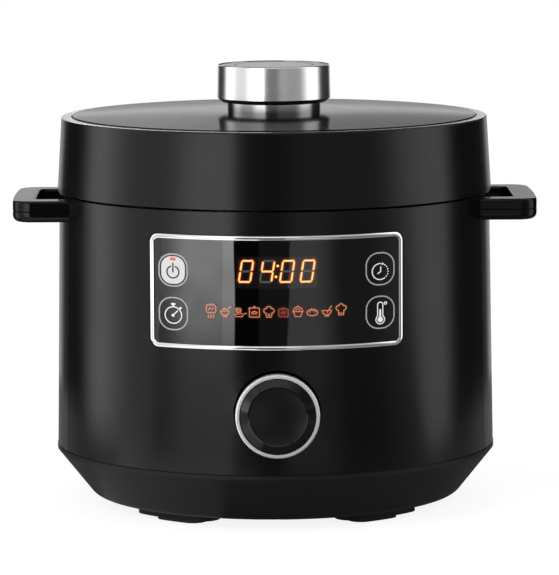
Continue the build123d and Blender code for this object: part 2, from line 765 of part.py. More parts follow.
def heating_plate(element):
    """Cast plate under the pot, with a bore for the sensor and a groove for the element."""
    bore = SENSOR_RADIUS + SENSOR_HOLE_CLEARANCE
    plate = turned(
        [(bore, WELL_FLOOR), (PLATE_RADIUS, WELL_FLOOR), (PLATE_RADIUS, PLATE_TOP), (bore, PLATE_TOP)],
        [0, 0, PLATE_EDGE_ROUND, 0],
    )
    return plate - element


def sensor_cap():
    """Cup that presses on the pot's bottom."""
    low = PLATE_TOP - SENSOR_HEIGHT
    cap = turned(
        [(0, PLATE_TOP), (SENSOR_RADIUS, PLATE_TOP), (SENSOR_RADIUS, low), (0, low)],
        [0, SENSOR_EDGE_ROUND, 0, 0],
    )
    return cap - rod(SENSOR_RADIUS - SENSOR_WALL, low, SENSOR_CEILING)


def spring_path():
    """Unbroken line of arcs up the sensor spring, two arcs for each quarter turn."""
    steps = 4 * SPRING_TURNS
    rise = (SPRING_LENGTH - 2 * SPRING_WIRE_RADIUS) / steps

    def place(i):
        angle = i * pi / 2
        low = SPRING_SEAT + SPRING_WIRE_RADIUS
        return Vector(SPRING_RADIUS * cos(angle), SPRING_RADIUS * sin(angle), low + rise * i)

    def heading(i):
        angle = i * pi / 2
        run = SPRING_RADIUS * pi / 2
        return Vector(-run * sin(angle), run * cos(angle), rise).normalized()

    arcs = []
    for i in range(steps):
        start, end = place(i), place(i + 1)
        first, last = heading(i), heading(i + 1)
        span = end - start
        both = first + last
        bend = 2 * (1 - first.dot(last))
        reach = (sqrt(span.dot(both) ** 2 + bend * span.dot(span)) - span.dot(both)) / bend
        middle = (start + first * reach + end - last * reach) * 0.5
        arcs.append(TangentArc(start, middle, tangent=first))
        arcs.append(TangentArc(end, middle, tangent=last * -1))
    return Wire(arcs), place(0), heading(0)


def sensor_spring():
    """Coil spring that lifts the sensor cap, on the holder's pin."""
    path, start, heading = spring_path()
    section = Plane(origin=start, z_dir=heading) * Circle(SPRING_WIRE_RADIUS)
    print(f"sensor spring: least gap between turns {spring_gap(path):.2f} mm")
    return sweep(section, path=path)


def spring_gap(path):
    """Least gap between turns of the spring, measured on points half a turn or more apart."""
    count = SPRING_SAMPLES * SPRING_TURNS
    apart = SPRING_SAMPLES // 2
    points = [path @ (i / count) for i in range(count + 1)]
    pairs = [(i, j) for i in range(count + 1) for j in range(i + apart, count + 1)]
    return min((points[i] - points[j]).length for i, j in pairs) - 2 * SPRING_WIRE_RADIUS


def sensor_holder():
    """Post on the base floor that seats the sensor spring and guides it by a pin."""
    pin_top = SPRING_SEAT + HOLDER_PIN_LENGTH
    return turned(
        [
            (0, BASE_FLOOR),
            (HOLDER_FLANGE_RADIUS, BASE_FLOOR),
            (HOLDER_FLANGE_RADIUS, BASE_FLOOR + HOLDER_FLANGE_THICKNESS),
            (SENSOR_RADIUS, BASE_FLOOR + HOLDER_FLANGE_THICKNESS),
            (SENSOR_RADIUS, SPRING_SEAT),
            (HOLDER_PIN_RADIUS, SPRING_SEAT),
            (HOLDER_PIN_RADIUS, pin_top),
            (0, pin_top),
        ]
    )


def inner_pot():
    """Deep-drawn pot with a rolled rim that hangs on the well's flange."""
    return turned(
        [
            (0, POT_BOTTOM),
            (POT_OUTER, POT_BOTTOM),
            (POT_OUTER, POT_SEAT),
            (POT_RIM, POT_SEAT),
            (POT_RIM, POT_TOP),
            (POT_RADIUS, POT_TOP),
            (POT_RADIUS, POT_BOTTOM + POT_FLOOR),
            (0, POT_BOTTOM + POT_FLOOR),
        ],
        [0, POT_CORNER + POT_WALL, 0, 0, 0, 0, POT_CORNER, 0],
    )


# Electrics
def power_board():
    """Mains board on four standoffs, with its tall parts under the heater."""
    low = BASE_FLOOR + POWER_BOARD_LIFT
    top = low + BOARD_THICKNESS
    high = ELEMENT_CENTRE - ELEMENT_TUBE_RADIUS - HEATER_AIR_GAP
    back = POWER_BOARD_FRONT + POWER_BOARD_DEPTH
    half = STAND_RING_RADIUS * cos(radians(STAND_ANGLE)) - STAND_RADIUS - POWER_BOARD_CLEARANCE
    middle = (POWER_BOARD_FRONT + back) / 2
    board = block(-half, half, POWER_BOARD_FRONT, back, low, top)
    for x in (POWER_BOARD_INSET - half, half - POWER_BOARD_INSET):
        for y in (POWER_BOARD_FRONT + POWER_BOARD_INSET, back - POWER_BOARD_INSET):
            board += rod(STANDOFF_RADIUS, BASE_FLOOR, low, x, y)
    board += block(-half + PART_SIDE, -half + 2 * PART_SIDE, middle - PART_SIDE, middle, top, high)
    board += block(0, PART_SIDE, middle - PART_SIDE / 2, middle + PART_SIDE, top, high)
    board += rod(PART_SIDE / 3, top, high, half - PART_SIDE, middle)
    return board


def board_front():
    """Y of the control board's front face."""
    return BOARD_SETBACK - body_radius(PANEL_MIDDLE)


def button_places():
    """X and height of the buttons, by name."""
    return {
        "power": (-BUTTON_X, BUTTON_UPPER_HEIGHT),
        "timer": (-BUTTON_X, BUTTON_LOWER_HEIGHT),
        "delay": (BUTTON_X, BUTTON_UPPER_HEIGHT),
        "temperature": (BUTTON_X, BUTTON_LOWER_HEIGHT),
    }


def carrier_post_places():
    """X and height of the posts between panel carrier and control board."""
    low = PANEL_LOW + CARRIER_POST_MARGIN
    high = PANEL_LOW + PANEL_HEIGHT - CARRIER_POST_MARGIN
    return [(x, z) for x in (-CARRIER_POST_X, CARRIER_POST_X) for z in (low, high)]


def control_board():
    """Board behind the panel, with a push switch behind each button."""
    front = board_front()
    low = PANEL_LOW + BOARD_MARGIN
    high = PANEL_LOW + PANEL_HEIGHT - BOARD_MARGIN
    half = BOARD_HALF_WIDTH
    board = block(-half, half, front, front + BOARD_THICKNESS, low, high)
    for x, z in button_places().values():
        side = SWITCH_SIDE / 2
        board += block(x - side, x + side, front - SWITCH_HEIGHT, front, z - side, z + side)
    return board


def display_outline(grow):
    """Front-view outline of the display module."""
    middle = PANEL_LOW + DISPLAY_LOW + DISPLAY_HEIGHT / 2
    return Pos(0, middle) * Rectangle(DISPLAY_WIDTH + 2 * grow, DISPLAY_HEIGHT + 2 * grow)


def display_module():
    """Numeric display that stands on the control board behind the window."""
    front = board_front()
    return slab_y(display_outline(0), front - DISPLAY_DEPTH, front)


# Front panel
def button_outline(x, z, shrink):
    """Front-view outline of a button place, shrunk by a margin."""
    width = BUTTON_WIDTH - 2 * shrink
    height = BUTTON_HEIGHT - 2 * shrink
    return Pos(x, z) * RectangleRounded(width, height, BUTTON_CORNER - shrink)


def panel_band(inner, outer):
    """Stretch of the tapered wall between two offsets, tall enough for the whole panel."""
    margin = 2 * CARRIER_OVERLAP
    return wall_band(inner, outer, PANEL_LOW - margin, PANEL_LOW + PANEL_HEIGHT + margin)


def panel_frame():
    """Bright frame round the window."""
    ring = slab_y(panel_outline(0), -REACH, 0)
    ring -= slab_y(panel_outline(-PANEL_FRAME_WIDTH), -REACH, 0)
    return ring & panel_band(-SHELL_WALL, PANEL_FRAME_PROUD)


def panel_window():
    """Curved dark window inside the frame, open for the buttons."""
    window = slab_y(panel_outline(-PANEL_FRAME_WIDTH - WINDOW_FIT), -REACH, 0)
    for x, z in button_places().values():
        window -= slab_y(button_outline(x, z, 0), -REACH, 0)
    return window & panel_band(-SHELL_WALL, WINDOW_PROUD)


def button_rings():
    """Thin rings that line the button openings."""
    band = panel_band(-SHELL_WALL, WINDOW_PROUD + BUTTON_RING_PROUD)
    rings = []
    for x, z in button_places().values():
        ring = slab_y(button_outline(x, z, 0), -REACH, 0)
        ring -= slab_y(button_outline(x, z, BUTTON_RING_WIDTH), -REACH, 0)
        rings.append(ring & band)
    return group(rings)


def panel_carrier():
    """Moulded tray behind the shell that holds frame, window, buttons and control board."""
    inner = -SHELL_WALL - CARRIER_WALL
    tray = slab_y(panel_outline(CARRIER_OVERLAP), -REACH, 0) & panel_band(inner, -SHELL_WALL)
    tray -= slab_y(display_outline(DISPLAY_CLEARANCE), -REACH, 0)
    for x, z in button_places().values():
        tray -= rod_y(BUTTON_STEM_RADIUS + BUTTON_STEM_CLEARANCE, -REACH, 0, x, z)
    posts = [rod_y(CARRIER_POST_RADIUS, -REACH, board_front(), x, z) for x, z in carrier_post_places()]
    core = panel_core(-SHELL_WALL - CARRIER_WALL / 2)
    for post in posts:
        tray += post & core
    return tray


def panel_core(offset):
    """Everything inside the panel's stretch of wall moved by an offset."""
    margin = 2 * CARRIER_OVERLAP
    return wall_core(offset, PANEL_LOW - margin, PANEL_LOW + PANEL_HEIGHT + margin)


def button(x, z):
    """Key with a face that follows the window and a stem that ends before its switch."""
    shrink = BUTTON_RING_WIDTH + BUTTON_CLEARANCE
    key = slab_y(button_outline(x, z, shrink), -REACH, 0)
    key &= panel_band(BUTTON_PROUD - BUTTON_THICKNESS, BUTTON_PROUD)
    tip = board_front() - SWITCH_HEIGHT - SWITCH_GAP
    stem = rod_y(BUTTON_STEM_RADIUS, -REACH, tip, x, z)
    key += stem & panel_core(BUTTON_PROUD - BUTTON_THICKNESS / 2)
    collar = BUTTON_STEM_RADIUS + BUTTON_COLLAR_WIDTH
    key += rod_y(collar, tip - BUTTON_COLLAR_THICKNESS, tip, x, z)
    return key


# Dial
def facing_front(part):
    """Turns a part made about Z to lie about the dial's axis, its top towards the front."""
    return Pos(0, 0, DIAL_HEIGHT) * Rot(90, 0, 0) * part


def dial_front():
    """Distance from the body's axis to the front of the dial."""
    return body_radius(DIAL_HEIGHT) + DIAL_PROUD


def dial_ring():
    """Bright ring round the dial's front edge."""
    high = dial_front() - DIAL_RING_SETBACK
    low = high - DIAL_RING_DEPTH
    inner = DIAL_RADIUS - DIAL_RING_WIDTH
    return facing_front(
        turned(
            [(inner, low), (DIAL_RADIUS, low), (DIAL_RADIUS, high), (inner, high)],
            [0, 0, DIAL_RING_WIDTH / 3, DIAL_RING_WIDTH / 6],
        )
    )


def dial_knob():
    """Hollow knob with a sloping shoulder and a dished face, on a hub for the shaft."""
    front = dial_front()
    back = front - DIAL_DEPTH
    inner = DIAL_RADIUS - DIAL_RING_WIDTH
    side = DIAL_RADIUS - DIAL_SIDE_STEP
    seat = front - DIAL_RING_SETBACK - DIAL_RING_DEPTH
    rim = front - DIAL_DISH_LIP
    bowl = front - DIAL_DISH_DEPTH
    dish = DIAL_DISH_RADIUS
    ceiling = bowl - DIAL_FACE_WALL
    edge = Polyline(
        Vector(dish, 0, rim),
        Vector(dish + DIAL_DISH_LIP, 0, front),
        Vector(inner, 0, front - DIAL_SHOULDER_DROP),
        Vector(inner, 0, seat),
        Vector(side, 0, seat),
        Vector(side, 0, back),
        Vector(side - DIAL_SIDE_WALL, 0, back),
        Vector(side - DIAL_SIDE_WALL, 0, min(ceiling, seat - DIAL_FACE_WALL)),
        Vector(DIAL_HUB_RADIUS, 0, min(ceiling, seat - DIAL_FACE_WALL)),
        Vector(DIAL_HUB_RADIUS, 0, back),
        Vector(SHAFT_RADIUS, 0, back),
        Vector(SHAFT_RADIUS, 0, back + SHAFT_GRIP),
        Vector(0, 0, back + SHAFT_GRIP),
        Vector(0, 0, bowl),
    )
    hollow = ThreePointArc(
        Vector(0, 0, bowl),
        Vector(dish / 2, 0, bowl + (rim - bowl) / 4),
        Vector(dish, 0, rim),
    )
    return facing_front(revolve(make_face([*edge.edges(), hollow]), Axis.Z))


def housing_back():
    """Distance from the body's axis to the front of the dial housing's back wall."""
    return dial_front() - DIAL_DEPTH - DIAL_PUSH_ROOM


def slider_outer():
    """Outside radius of the encoder's slider."""
    return SHAFT_RADIUS + SHAFT_FIT + SLIDER_WALL


def bush_outer():
    """Outside radius of the encoder's bush."""
    return slider_outer() + SHAFT_FIT + ENCODER_BUSH_WALL


def dial_housing():
    """Cup behind the shell that the dial sinks into, with a back wall for the encoder."""
    inner = DIAL_RADIUS + DIAL_GAP
    back = housing_back() - DIAL_HOUSING_WALL
    cup = rod(DIAL_HOUSING_RADIUS, back, REACH) - rod(inner, housing_back(), REACH)
    cup -= rod(bush_outer(), back, REACH)
    return facing_front(cup) & wall_core(-SHELL_WALL, SEAM_HEIGHT, BODY_TOP)


def dial_encoder():
    """Encoder body behind the housing, with a bush through its back wall."""
    front = housing_back() - DIAL_HOUSING_WALL
    side = ENCODER_SIDE / 2
    bore = slider_outer() + SHAFT_FIT
    body = block(-side, side, -side, side, front - ENCODER_DEPTH, front)
    body += rod(bush_outer(), front, front + DIAL_HOUSING_WALL)
    body -= rod(bore, front - ENCODER_BUSH_LENGTH, front + DIAL_HOUSING_WALL)
    return facing_front(body)


def dial_slider():
    """Sleeve that slides in the encoder when the dial is pushed, round the turning shaft."""
    front = dial_front() - DIAL_DEPTH
    return facing_front(tube(slider_outer(), SHAFT_RADIUS + SHAFT_FIT, front - SLIDER_LENGTH, front))


def dial_shaft():
    """Shaft fixed in the dial's hub, which turns in the slider."""
    back = dial_front() - DIAL_DEPTH
    return facing_front(rod(SHAFT_RADIUS, back - SLIDER_LENGTH, back + SHAFT_GRIP))


# Handles
def handle_outline():
    """Plan of the right handle: a bowed grip on two arms, open towards the body."""
    corner = HANDLE_END - HANDLE_BOW
    wide = HANDLE_HALF_WIDTH
    end = ThreePointArc((corner, -wide), (HANDLE_END, 0), (corner, wide))
    sides = Polyline((corner, wide), (0, wide), (0, -wide), (corner, -wide))
    plan = make_face([end, *sides.edges()])
    plan = fillet(plan.vertices().sort_by(Axis.X)[-2:], HANDLE_CORNER)
    hole = Pos(HANDLE_HOLE_END / 2, 0) * Rectangle(HANDLE_HOLE_END, 2 * HANDLE_HOLE_HALF_WIDTH)
    hole = fillet(hole.vertices().sort_by(Axis.X)[-2:], HANDLE_HOLE_CORNER)
    return plan - hole


def clamp_screw_places():
    """X and Y of the upright screws that join the two halves of the right handle."""
    x = (body_radius(HANDLE_LOW) + HANDLE_HOLE_END) / 2
    return [(x, y) for y in (-HANDLE_SCREW_OFFSET, HANDLE_SCREW_OFFSET)]


def trim_handle(half):
    """Cuts a handle half where it meets the body wall."""
    return half - wall_core(0, HANDLE_LOW - HANDLE_TRIM_MARGIN, HANDLE_TOP + HANDLE_TRIM_MARGIN)


def handle_upper():
    """Upper half of the right handle, with holes for cross and clamp screws."""
    half = Pos(0, 0, HANDLE_JOINT) * extrude(handle_outline(), amount=HANDLE_TOP - HANDLE_JOINT)
    half = fillet(half.faces().sort_by(Axis.Z)[-1].edges(), HANDLE_TOP_ROUND)
    half = chamfer(half.faces().sort_by(Axis.Z)[0].edges(), HANDLE_SPLIT_CHAMFER)
    half = trim_handle(half)
    for side, y, height in handle_screw_places():
        if side > 0:
            half -= rod_x(SCREW_RADIUS, 0, cross_screw_tip(y), y, height)
    for x, y in clamp_screw_places():
        half -= rod(SCREW_RADIUS, HANDLE_JOINT, clamp_screw_tip(), x, y)
    return half


def handle_lower():
    """Lower half of the right handle, with sunk holes for the clamp screws."""
    half = Pos(0, 0, HANDLE_LOW) * extrude(handle_outline(), amount=HANDLE_JOINT - HANDLE_LOW)
    half = fillet(half.faces().sort_by(Axis.Z)[0].edges(), HANDLE_BOTTOM_ROUND)
    half = chamfer(half.faces().sort_by(Axis.Z)[-1].edges(), HANDLE_SPLIT_CHAMFER)
    half = trim_handle(half)
    for x, y in clamp_screw_places():
        half -= rod(SCREW_HEAD_RADIUS + SCREW_HOLE_CLEARANCE, HANDLE_LOW, clamp_screw_seat(), x, y)
        half -= rod(SCREW_RADIUS + SCREW_HOLE_CLEARANCE, HANDLE_LOW, HANDLE_JOINT, x, y)
    return half


def cross_screw_seat(y):
    """X of a cross screw's head, just inside the shell."""
    inside = body_radius(HANDLE_TOP) - SHELL_WALL
    reach = abs(y) + SCREW_HEAD_RADIUS
    return sqrt(inside**2 - reach**2) - SCREW_HOLE_CLEARANCE


def cross_screw_tip(y):
    """X where a cross screw ends in the handle's arm."""
    return sqrt(body_radius(HANDLE_TOP) ** 2 - y**2) + HANDLE_SCREW_GRIP


def clamp_screw_seat():
    """Height of a clamp screw's head face, sunk into the lower half."""
    return HANDLE_LOW + SCREW_HEAD_HEIGHT + SCREW_HOLE_CLEARANCE


def clamp_screw_tip():
    """Height where a clamp screw ends in the upper half, under the cross screw's level."""
    return HANDLE_TOP - HANDLE_TOP_ROUND


def mirrored(part):
    """The same piece on the left side."""
    return mirror(part, about=Plane.YZ)


def handle_screws():
    """Cross screws from inside the shell and clamp screws from below, both handles."""
    screws = []
    for side, y, height in handle_screw_places():
        seat = cross_screw_seat(y)
        head = rod_x(SCREW_HEAD_RADIUS, side * (seat - SCREW_HEAD_HEIGHT), side * seat, y, height)
        screws.append(head + rod_x(SCREW_RADIUS, side * seat, side * cross_screw_tip(y), y, height))
    for x, y in clamp_screw_places():
        clamp = screw(clamp_screw_tip(), x, y, clamp_screw_seat())
        screws.append(clamp)
        screws.append(mirrored(clamp))
    return group(screws)


# Mains inlet
def inlet_front():
    """Y of the inlet's flange face."""
    return body_radius(INLET_HEIGHT) + INLET_FLANGE_PROUD


def mains_inlet():
    """Appliance inlet: a flange on the shell and a body with a cornered mouth."""
    front = inlet_front()
    back = front - INLET_DEPTH
    plate = RectangleRounded(INLET_FLANGE_WIDTH, INLET_FLANGE_HEIGHT, INLET_FLANGE_CORNER)
    flange = slab_y(Pos(0, INLET_HEIGHT) * plate, 0, front)
    flange -= wall_core(0, SEAM_HEIGHT, BODY_TOP)
    socket = flange + slab_y(inlet_body_outline(0), back, front)
    mouth = Rectangle(INLET_MOUTH_WIDTH, INLET_MOUTH_HEIGHT)
    mouth = chamfer(mouth.vertices().group_by(Axis.Y)[-1], INLET_MOUTH_CHAMFER)
    socket -= slab_y(Pos(0, INLET_HEIGHT) * mouth, front - INLET_MOUTH_DEPTH, front)
    for x, z in pin_places():
        socket -= pin(x, z)
    return socket


def pin_places():
    """X and height of the three pins."""
    live = INLET_HEIGHT - PIN_LIVE_DROP
    return [(-PIN_SPACING, live), (0.0, INLET_HEIGHT + PIN_EARTH_RISE), (PIN_SPACING, live)]


def pin(x, z):
    """Flat pin from behind the inlet's floor to short of its mouth."""
    floor = inlet_front() - INLET_MOUTH_DEPTH
    tail = inlet_front() - INLET_DEPTH - PIN_TAIL
    half = PIN_WIDTH / 2
    rise = PIN_HEIGHT / 2
    return block(x - half, x + half, tail, floor + PIN_LENGTH, z - rise, z + rise)


def inlet_pins():
    """The three contact pins."""
    return group([pin(x, z) for x, z in pin_places()])


# Condensate cup
def cup_block(half_width, standoff, setback, low, high):
    """Block behind the body, from the wall plus a standoff to the cup's round back less a setback."""
    back = rod(CUP_REACH - setback, low, high)
    back &= block(-half_width, half_width, 0, REACH, low, high)
    return back - wall_core(standoff, low, high)


def condensate_cup():
    """Open cup with side lips that rest on the bracket's rails."""
    half = CUP_WIDTH / 2
    cup = cup_block(half, CUP_STANDOFF, 0, CUP_LOW, CUP_TOP)
    lip_low = CUP_TOP - CUP_LIP_THICKNESS
    cup += cup_block(half + CUP_LIP_WIDTH, CUP_STANDOFF, CUP_LIP_SETBACK, lip_low, CUP_TOP)
    cup -= cup_block(half - CUP_WALL, CUP_STANDOFF + CUP_WALL, CUP_WALL, CUP_LOW + CUP_WALL, CUP_TOP)
    return cup


def cup_bracket():
    """Plate on the rear shell with two rails for the cup and a hooded spout above it."""
    half = CUP_WIDTH / 2
    wide = half + CUP_LIP_WIDTH + RAIL_MARGIN
    rail_top = CUP_TOP - CUP_LIP_THICKNESS - CUP_RAIL_GAP
    rail_low = rail_top - RAIL_THICKNESS
    spout_low = CUP_TOP + SPOUT_LIFT
    spout_top = spout_low + SPOUT_HEIGHT
    plate = wall_band(0, BRACKET_WALL, rail_low, spout_top) & block(-wide, wide, 0, REACH, 0, LID_TOP)
    rails = cup_block(wide, 0, CUP_LIP_SETBACK, rail_low, rail_top)
    rails -= block(-half - CUP_RAIL_GAP, half + CUP_RAIL_GAP, 0, REACH, rail_low, rail_top)
    spout = cup_block(SPOUT_WIDTH / 2, 0, SPOUT_SETBACK, spout_low, spout_top)
    inner = SPOUT_WIDTH / 2 - SPOUT_WALL
    bracket = plate + rails + spout
    back = CUP_REACH - SPOUT_SETBACK - SPOUT_WALL
    channel = block(-inner, inner, 0, back, spout_low, spout_top - SPOUT_WALL)
    return bracket - channel


# Lid shell
def lid_inside(height):
    """Radius of the lid skirt's inside at a height."""
    share = (height - LID_EDGE) / LID_HEIGHT
    return LID_BOTTOM_RADIUS + share * (LID_TOP_RADIUS - LID_BOTTOM_RADIUS) - LID_WALL


def lid_boss_places():
    """X and Y of the screw bosses under the lid's rim."""
    return around(LID_BOSS_COUNT, lid_inside(FRAME_LOW) - LID_BOSS_SETBACK)


def lid_skirt():
    """Side wall of the lid with its flat rim, a ledge for the top disc and screw bosses."""
    rim = LID_TOP_RADIUS - RIM_WIDTH
    ledge = rim - LEDGE_WIDTH
    skirt = turned(
        [
            (LID_BOTTOM_RADIUS, LID_EDGE),
            (LID_TOP_RADIUS, LID_TOP),
            (rim, LID_TOP),
            (rim, LEDGE_TOP),
            (ledge, LEDGE_TOP),
            (ledge, LEDGE_LOW),
            (lid_inside(LEDGE_LOW), LEDGE_LOW),
            (lid_inside(LID_EDGE), LID_EDGE),
        ],
        [0, LID_EDGE_ROUND, 0, 0, 0, 0, 0, 0],
    )
    for x, y in lid_boss_places():
        skirt += tube(LID_BOSS_RADIUS, SCREW_RADIUS, FRAME_TOP, LEDGE_LOW, x, y)
    return skirt


def dome_curve(drop):
    """Arc of the top disc from its edge to its flat middle, moved down by a drop."""
    high = DISC_TOP - drop
    middle = (DISC_RADIUS + DISC_FLAT_RADIUS) / 2
    return ThreePointArc(
        Vector(DISC_RADIUS, 0, high - DISC_RISE),
        Vector(middle, 0, high - DISC_RISE / 4),
        Vector(DISC_FLAT_RADIUS, 0, high),
    )


def dome_face(drop, base):
    """Upright face from the axis to the dome, down to a base height."""
    rest = Polyline(
        Vector(DISC_FLAT_RADIUS, 0, DISC_TOP - drop),
        Vector(0, 0, DISC_TOP - drop),
        Vector(0, 0, base),
        Vector(DISC_RADIUS, 0, base),
        Vector(DISC_RADIUS, 0, DISC_TOP - drop - DISC_RISE),
    )
    return make_face([dome_curve(drop), *rest.edges()])


def valve_place():
    """X and Y of the steam release valve, behind the knob."""
    return 0.0, VALVE_RING_RADIUS


def float_place():
    """X and Y of the float valve, beside the steam release valve."""
    angle = radians(90.0 - FLOAT_ANGLE)
    return VALVE_RING_RADIUS * cos(angle), VALVE_RING_RADIUS * sin(angle)


def dome_height(radius):
    """Height of the top disc's upper face at a radius, on the arc's near parabola."""
    share = max(0.0, radius - DISC_FLAT_RADIUS) / (DISC_RADIUS - DISC_FLAT_RADIUS)
    return DISC_TOP - DISC_RISE * share**2


def valve_seat_top():
    """Height of the raised seat under the steam release valve."""
    return dome_height(VALVE_RING_RADIUS - VALVE_RADIUS) + VALVE_SEAT_HEIGHT


def lid_disc():
    """Domed top plate with a raised seat for the valve, and holes for spigot, pipe and float."""
    base = LEDGE_TOP
    solid = revolve(dome_face(0, base), Axis.Z)
    x, y = valve_place()
    solid += rod(VALVE_RADIUS + VALVE_SEAT_WIDTH, base, valve_seat_top(), x, y)
    hollow = revolve(dome_face(DISC_THICKNESS, base - DISC_THICKNESS), Axis.Z)
    disc = solid - hollow
    disc -= rod(KNOB_COLLAR_RADIUS - KNOB_COLLAR_WALL, base, DISC_TOP)
    disc -= rod(PIPE_RADIUS + PIPE_CLEARANCE, base, valve_seat_top(), x, y)
    x, y = float_place()
    disc -= rod(FLOAT_RADIUS + FLOAT_HOLE_CLEARANCE, base, KNOB_TOP, x, y)
    return disc


def lid_frame():
    """Inner frame under the top disc: hub for the spindle bush, arms, and posts for the inner lid."""
    outer = lid_inside(FRAME_TOP) - FRAME_EDGE_GAP
    frame = rod(outer, FRAME_LOW, FRAME_TOP)
    middle = outer - FRAME_RIM_WIDTH - FRAME_WINDOW_LENGTH / 2
    for i in range(LID_BOSS_COUNT):
        turn = Rot(0, 0, 360.0 * (i + 0.5) / LID_BOSS_COUNT)
        outline = RectangleRounded(FRAME_WINDOW_LENGTH, FRAME_WINDOW_WIDTH, FRAME_WINDOW_CORNER)
        hole = extrude(outline, amount=LID_TOP)
        frame -= turn * Pos(middle, 0, 0) * hole
    frame += rod(FRAME_HUB_RADIUS, BUSH_LOW, DISC_TOP - DISC_THICKNESS)
    frame -= rod(BUSH_RADIUS, BUSH_LOW, DISC_TOP)
    for x, y in around(POST_COUNT, POST_RING_RADIUS, POST_ANGLE):
        frame += rod(POST_RADIUS, INNER_LID_TOP, FRAME_LOW, x, y)
        frame -= rod(SCREW_RADIUS, INNER_LID_TOP, INNER_LID_TOP + LID_SCREW_GRIP, x, y)
    for x, y in lid_boss_places():
        frame -= rod(SCREW_RADIUS + SCREW_HOLE_CLEARANCE, FRAME_LOW, FRAME_TOP, x, y)
    x, y = float_place()
    guide = FLOAT_RADIUS + FLOAT_FIT
    frame += rod(guide + FLOAT_GUIDE_WALL, FRAME_LOW - FLOAT_GUIDE_LENGTH, FRAME_TOP, x, y)
    frame -= rod(guide, 0, LID_TOP, x, y)
    x, y = valve_place()
    frame -= rod(PIPE_RADIUS + PIPE_CLEARANCE, 0, LID_TOP, x, y)
    return frame


def knob_collar():
    """Bright collar under the knob, with a spigot through the top disc onto the frame's hub."""
    spigot = KNOB_COLLAR_RADIUS - KNOB_COLLAR_WALL
    bore = BUSH_RADIUS
    low = DISC_TOP - DISC_THICKNESS
    return turned(
        [
            (bore, low),
            (spigot, low),
            (spigot, DISC_TOP),
            (KNOB_COLLAR_RADIUS, DISC_TOP),
            (KNOB_COLLAR_RADIUS, COLLAR_TOP),
            (bore, COLLAR_TOP),
        ]
    )


def spindle_bush():
    """Plain bearing for the spindle in the frame's hub."""
    return tube(BUSH_RADIUS, SPINDLE_RADIUS + SPINDLE_FIT, BUSH_LOW, BUSH_LOW + BUSH_LENGTH)


def lid_screws():
    """Screws that hold the frame to the skirt and the inner lid to the frame's posts."""
    tip = FRAME_TOP + LID_SCREW_GRIP
    screws = [screw(tip, x, y, FRAME_LOW) for x, y in lid_boss_places()]
    tip = INNER_LID_TOP + LID_SCREW_GRIP
    for x, y in around(POST_COUNT, POST_RING_RADIUS, POST_ANGLE):
        screws.append(screw(tip, x, y, INNER_LID_ROOF))
    return group(screws)


def inner_lid():
    """Pressure lid: a shallow dish with a flange over the gasket."""
    step = INNER_LID_RADIUS - INNER_LID_FLANGE
    roof = INNER_LID_ROOF_RADIUS
    wall = INNER_LID_WALL
    lid = turned(
        [
            (0, INNER_LID_ROOF),
            (roof, INNER_LID_ROOF),
            (step, INNER_LID_SEAT),
            (INNER_LID_RADIUS, INNER_LID_SEAT),
            (INNER_LID_RADIUS, INNER_LID_SEAT + wall),
            (step + wall, INNER_LID_SEAT + wall),
            (roof + wall, INNER_LID_TOP),
            (0, INNER_LID_TOP),
        ],
        [0, INNER_LID_ROUND, 0, 0, 0, 0, INNER_LID_ROUND + wall, 0],
    )
    for x, y in around(POST_COUNT, POST_RING_RADIUS, POST_ANGLE):
        lid -= rod(SCREW_RADIUS + SCREW_HOLE_CLEARANCE, INNER_LID_ROOF, INNER_LID_TOP, x, y)
    x, y = float_place()
    lid -= rod(FLOAT_RADIUS + FLOAT_HOLE_CLEARANCE, INNER_LID_ROOF, INNER_LID_TOP, x, y)
    x, y = valve_place()
    lid -= rod(PIPE_RADIUS, INNER_LID_ROOF, INNER_LID_TOP, x, y)
    return lid


def lid_gasket():
    """Lipped sealing ring between the inner lid's flange and the pot's rim, open inwards."""
    outer = INNER_LID_RADIUS
    inner = outer - GASKET_WIDTH
    back = outer - GASKET_BACK
    high = INNER_LID_SEAT
    return turned(
        [
            (inner, GASKET_LOW),
            (outer, GASKET_LOW),
            (outer, high),
            (inner, high),
            (inner, high - GASKET_LIP),
            (back, high - GASKET_LIP),
            (back, GASKET_LOW + GASKET_LIP),
            (inner, GASKET_LOW + GASKET_LIP),
        ]
    )


# Lock mechanism of the lid
def lock_ring():
    """Ring round the inner lid with outward lugs, a lip over its flange and a flange for the driver."""
    lip = INNER_LID_SEAT + INNER_LID_WALL + LOCK_LIP_PLAY
    flange = DRIVER_LOW - LOCK_FLANGE_THICKNESS
    ring = turned(
        [
            (LOCK_BORE, LOCK_LOW),
            (LOCK_OUTER, LOCK_LOW),
            (LOCK_OUTER, DRIVER_LOW),
            (LOCK_BORE - LOCK_FLANGE_WIDTH, DRIVER_LOW),
            (LOCK_BORE - LOCK_FLANGE_WIDTH, flange),
            (LOCK_BORE, flange),
            (LOCK_BORE, lip + LOCK_LIP_THICKNESS),
            (LOCK_BORE - LOCK_LIP_REACH, lip + LOCK_LIP_THICKNESS),
            (LOCK_BORE - LOCK_LIP_REACH, lip),
            (LOCK_BORE, lip),
        ]
    )
    inside = LOCK_OUTER - LOCK_RING_WALL / 2
    for lug in lug_ring(inside, LUG_RADIUS, LOCK_LOW, LOCK_LOW + LUG_THICKNESS, 180.0 / LUG_COUNT):
        ring += lug
    return ring


